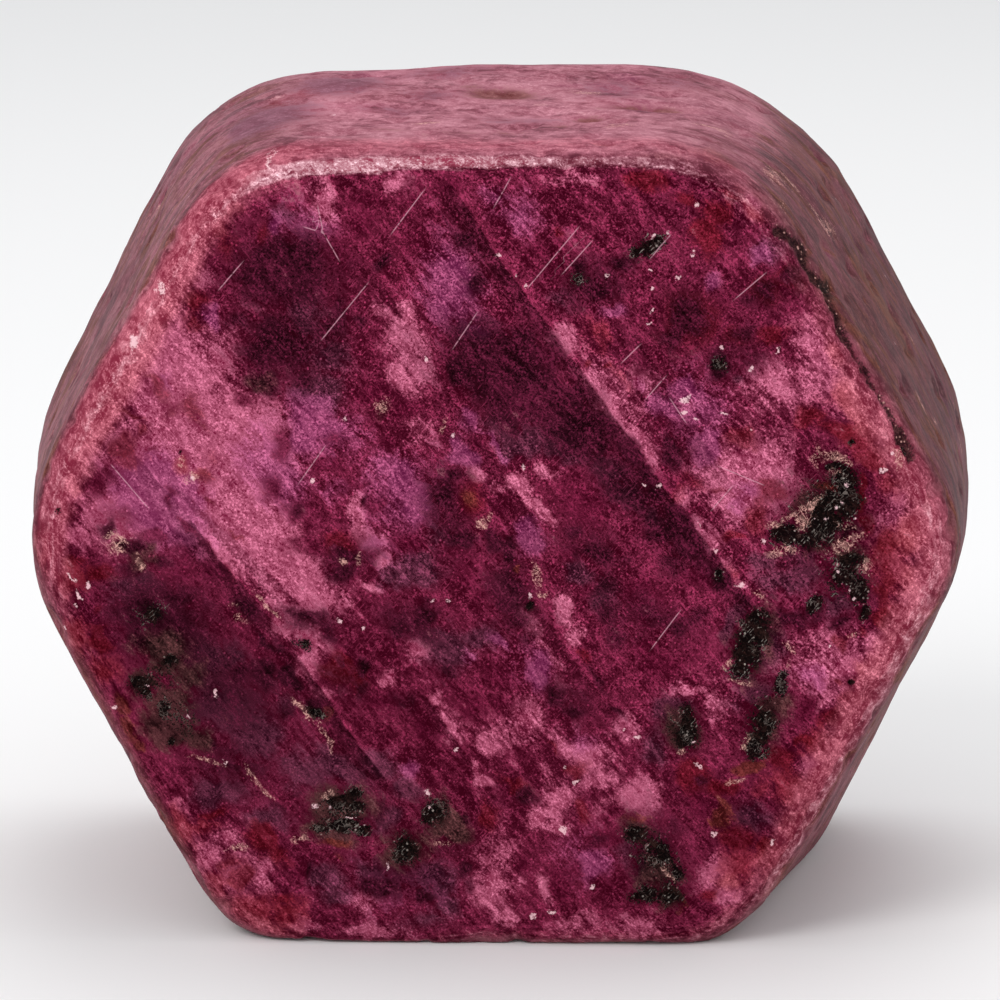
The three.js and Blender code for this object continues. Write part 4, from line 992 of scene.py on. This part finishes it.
# the ruby's own clouds and grains, in mm, and the deep and pale tones laid so far
class StoneFinish(Finish):
    def __init__(self, name):
        super().__init__(name)
        self.deep, self.pale = [tint(*tone) for tone in ruby["stone"]]
        metres = self.node("TexCoord", output="Object")
        self.place = self.node("VectorMath", {"operation": "SCALE"}, {0: metres, 3: 1 / mm})
        self.gap = self.mark("gap")
        self.nearEdge = self.between(abs(self.gap + 0.2), 1.5, 0.5)
        self.crisp = self.mark("crisp") * 0.8 + 0.2
        self.big = self.drawnOut("big")
        self.patches = self.drawnOut("patches")
        self.small = self.drawnOut("small")
        self.rise = self.drawnOut("rise")
        self.fine = self.clouds(self.place, *ruby["fine"])
        self.worms = self.between(abs(self.clouds(self.place, *ruby["worms"]) - 0.5), 0.05, 0.01)
        self.wrinkles = self.clouds(self.alongEdge(0.16), *ruby["wrinkles"])
        self.mosaic = self.makeMosaic()
        self.strokes = self.makeStrokes()
        self.specks, self.speckPick = self.makeSpecks()
        self.ragged = self.roughened(0, patches=0.8, small=0.8, mosaic=0.2, fine=0.35)

    def stretched(self, turn, ratio):
        values = {"Vector": self.place, "Rotation": (0, math.radians(turn), 0), "Scale": (ratio, 1, 1)}
        return self.node("Mapping", {"vector_type": "TEXTURE"}, values)

    def drawnOut(self, name):
        turn, ratio, *kind = ruby[name]
        return self.clouds(self.stretched(turn, ratio), *kind)

    # a place that goes over the front edge, and along it only so fast
    def alongEdge(self, share):
        x, z = [self.node("SeparateXYZ", {}, {0: self.place}, output=axis) for axis in (0, 2)]
        return self.node("CombineXYZ", {}, {0: self.gap, 1: x * share, 2: z * share})

    def makeMosaic(self):
        turn, ratio, size = ruby["mosaic"]
        cells = {"Vector": self.stretched(turn, ratio), "Scale": 1 / size}
        mosaic = self.node("TexVoronoi", {"distance": "MANHATTAN"}, cells, output="Color")
        return self.node("SeparateColor", {}, {0: mosaic})

    # short pale strokes in two directions
    def makeStrokes(self):
        leaning = self.between(self.drawnOut("lean"), 0.6, 0.74) * self.between(self.patches, 0.42, 0.6)
        rising = self.between(self.rise, 0.62, 0.76) * self.between(self.patches, 0.56, 0.42)
        return leaning | rising

    # round specks, and a number on each to pick some of them by
    def makeSpecks(self):
        cells = {"Vector": self.place, "Scale": 1 / ruby["speckSpacing"]}
        middle = self.node("TexVoronoi", {}, cells, output="Distance")
        pick = self.node("TexVoronoi", {}, cells, output="Color")
        return self.between(middle, 0.34, 0.14), self.node("SeparateColor", {}, {0: pick})

    def pickedSpecks(self, low, high):
        return self.specks * self.between(self.speckPick, low, high)

    # a value made uneven by clouds, each by its own amount
    def roughened(self, value, **amounts):
        for name, amount in amounts.items():
            value = value + (getattr(self, name) - 0.5) * amount
        return value

    def scattered(self, name, low, high):
        here = self.roughened(self.mark(name), small=1.2, fine=1.2)
        return self.between(here, low, high) * self.between(self.mark(name), 0.04, 0.25)

    # puts a pair of tones over those that are there
    def lay(self, name, amount):
        deep, pale = ruby[name]
        self.deep = self.blend(amount, self.deep, tint(*deep))
        self.pale = self.blend(amount, self.pale, tint(*pale))

    def layZones(self, zones):
        for name, (amount, low, high, rough) in zones.items():
            self.lay(name, self.between(self.mark(name) + self.ragged * rough, low, high) * amount)

    # dust on the sides, painted paler for sheen and light from above in its lit copy and darker in its shaded
    # copy on the side away from the light, with brown, mauve and dark bands in it
    def layDustWithPaintedLight(self):
        dustAndSheenHere, shade = self.mark("dustAndSheen"), self.mark("shade")
        dustAndSheen = dustAndSheenHere * self.between(self.patches * 0.6 + self.big * 0.4, 0.25, 0.55) * 0.85
        self.lay("dustPaintedLit", dustAndSheen)
        self.lay("dustPaintedShaded", dustAndSheen * shade)
        bands = self.clouds(self.alongEdge(0.36), *ruby["bands"])
        banded = dustAndSheenHere * self.between(shade, 0.05, 0.5)
        self.lay("sideBrown", banded * self.between(bands, 0.5, 0.62) * 0.75)
        self.lay("sideMauve", banded * self.between(bands, 0.48, 0.38) * 0.7)
        uneven = self.patches + (self.wrinkles - 0.5) * 0.4
        self.lay("sideDark", banded * self.between(uneven, 0.52, 0.68) * 0.75)

    def layEdge(self):
        rose = self.roughened(self.mark("rose"), small=0.5, patches=0.5)
        self.lay("rose", self.between(rose, 0.2, 0.85) * 0.85)
        # the frost is wear with a painted highlight along the ridge
        frostAndHighlight = self.roughened(self.mark("frostAndHighlight"), small=0.6, wrinkles=0.8)
        self.lay("frostAndHighlight", self.between(frostAndHighlight, 0.25, 0.95) * 0.9)

    # how far from the deep tone, at 0, to the pale one, at 1; the fine sparkle and the picked specks are pale
    # grain and painted glints, that is painted highlights on small facets
    def makeTone(self):
        tone = self.roughened(0.25, big=0.8, patches=1.2, small=1.4, mosaic=0.25)
        tone = tone | (tone * 0.3 + 0.05)
        sparkleAndGlints = self.between(self.fine + (self.small - 0.5) * 0.8, 0.5, 0.86)
        wormy = self.worms * (self.between(self.patches, 0.45, 0.66) * 0.9 + 0.08)
        tone = tone + sparkleAndGlints * (self.crisp * 1.4 + 0.1) + wormy * self.crisp * 1.1
        tone = tone + self.strokes * self.crisp * 0.9
        tone = tone - self.between(self.fine, 0.46, 0.2) * self.crisp * 0.8
        tone = tone + self.pickedSpecks(0.72, 0.9) * self.crisp * 1.5
        return tone + (self.wrinkles - 0.5) * self.nearEdge * 1.6 + self.mark("pink") * 0.12

    # growth lines get a painted shadow below each step, laid in the dark tones, and a painted highlight along
    # the upper side, which is given back
    def layGrowthLineShadeAndHighlight(self):
        side = self.mark("lineSide") + (self.small - 0.5) * 0.12
        show = self.mark("lineShow") * self.between(self.big, 0.3, 0.5)
        paintedShadowSide = self.between(side, 0.0, -0.07) * self.between(side, -1.0, -0.1) * show
        paintedHighlightSide = self.between(side, 0.3, 0.05) * self.between(side, -0.04, 0.02) * show
        self.lay("dark", paintedShadowSide * 0.7)
        return paintedHighlightSide * (self.small * 0.5 + self.worms * 0.3)

    def withVein(self, colour):
        deep, pale = [tint(*tone) for tone in ruby["vein"]]
        fill = self.blend(self.between(self.small, 0.5, 0.8) * 0.7 + self.worms * 0.35, deep, pale)
        # the tan specks in the vein are pale flecks and painted glints, that is painted highlights
        fill = self.blend(self.pickedSpecks(0.55, 0.8) * 0.8, fill, tint(*ruby["tan"]))
        return self.blend(self.scattered("vein", 0.25, 0.8) * 0.92, colour, fill)

    # black grains with a few pale flecks and painted glints (painted highlights), and strokes
    def withGrains(self, colour):
        deep, pale = [tint(*tone) for tone in ruby["black"]]
        grain = self.blend(self.between(self.small, 0.5, 0.8) * 0.8 + self.worms * 0.4, deep, pale)
        paleGrainsAndGlints = self.pickedSpecks(0.8, 1.0) + self.between(self.rise, 0.64, 0.74) * 0.5
        paleGrainsAndGlints = paleGrainsAndGlints + self.worms * self.between(self.patches, 0.5, 0.62) * 0.35
        grain = self.blend(paleGrainsAndGlints * (self.crisp * 0.6 + 0.1), grain, tint(*ruby["paleGrainAndGlint"]))
        return self.blend(self.scattered("black", 0.28, 0.5) * 0.97, colour, grain)

    # tan wisps and bright spots
    def withWisps(self, colour):
        thready = self.worms * 0.8 + self.strokes * 0.8 + self.between(self.small, 0.4, 0.7) * 0.35
        colour = self.blend(self.scattered("tan", 0.3, 0.7) * thready, colour, tint(*ruby["tan"]))
        return self.blend(self.scattered("spot", 0.62, 1.0) * 0.85, colour, tint(*ruby["spot"]))

    def withScratches(self, colour):
        side = self.mark("scratchSide") + (self.small - 0.5) * 0.02
        here = self.between(abs(side), 0.026, 0.004) * self.mark("scratchShow")
        here = here * self.between(self.small, 0.32, 0.5)
        return self.blend(here * 0.62, colour, tint(*ruby["scratch"]))

    def makeBump(self):
        height = self.patches * 0.25 + self.small * 0.4 + self.fine * 0.35
        height = height + self.wrinkles * self.nearEdge * 0.5
        values = {"Strength": 0.5, "Distance": ruby["bumpDepth"] * mm, "Height": height}
        return self.node("Bump", {}, values)


def rubyFinish():
    finish = StoneFinish("rubyStone")
    finish.layZones(ruby["zones"])
    finish.layDustWithPaintedLight()
    finish.layZones(ruby["topZones"])
    finish.layEdge()
    tone = finish.makeTone() + finish.layGrowthLineShadeAndHighlight()
    colour = finish.blend((tone | 0) & 1.5, finish.deep, finish.pale, clamped=False)
    colour = finish.withVein(colour)
    colour = finish.withGrains(colour)
    colour = finish.withWisps(colour)
    colour = finish.withScratches(colour)
    finish.set("Base Color", colour)
    finish.set("Roughness", 0.4 + finish.small * 0.2)
    finish.set("Specular IOR Level", ruby["specular"])
    finish.set("Coat Weight", finish.mark("dustAndSheen") * ruby["dustCoat"])
    finish.set("Coat Roughness", ruby["coatRoughness"])
    finish.set("Normal", finish.makeBump())
    return finish.material


crystal = meshCopy("ruby_crystal", "ruby_crystal_skin")
evenMesh(crystal)
sculpt(crystal)
print("stone ready", len(crystal.data.polygons), "faces")
crystal.data.materials.clear()
crystal.data.materials.append(rubyFinish())
print("finish ready")

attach(crystal, "root")
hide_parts("ruby_crystal")
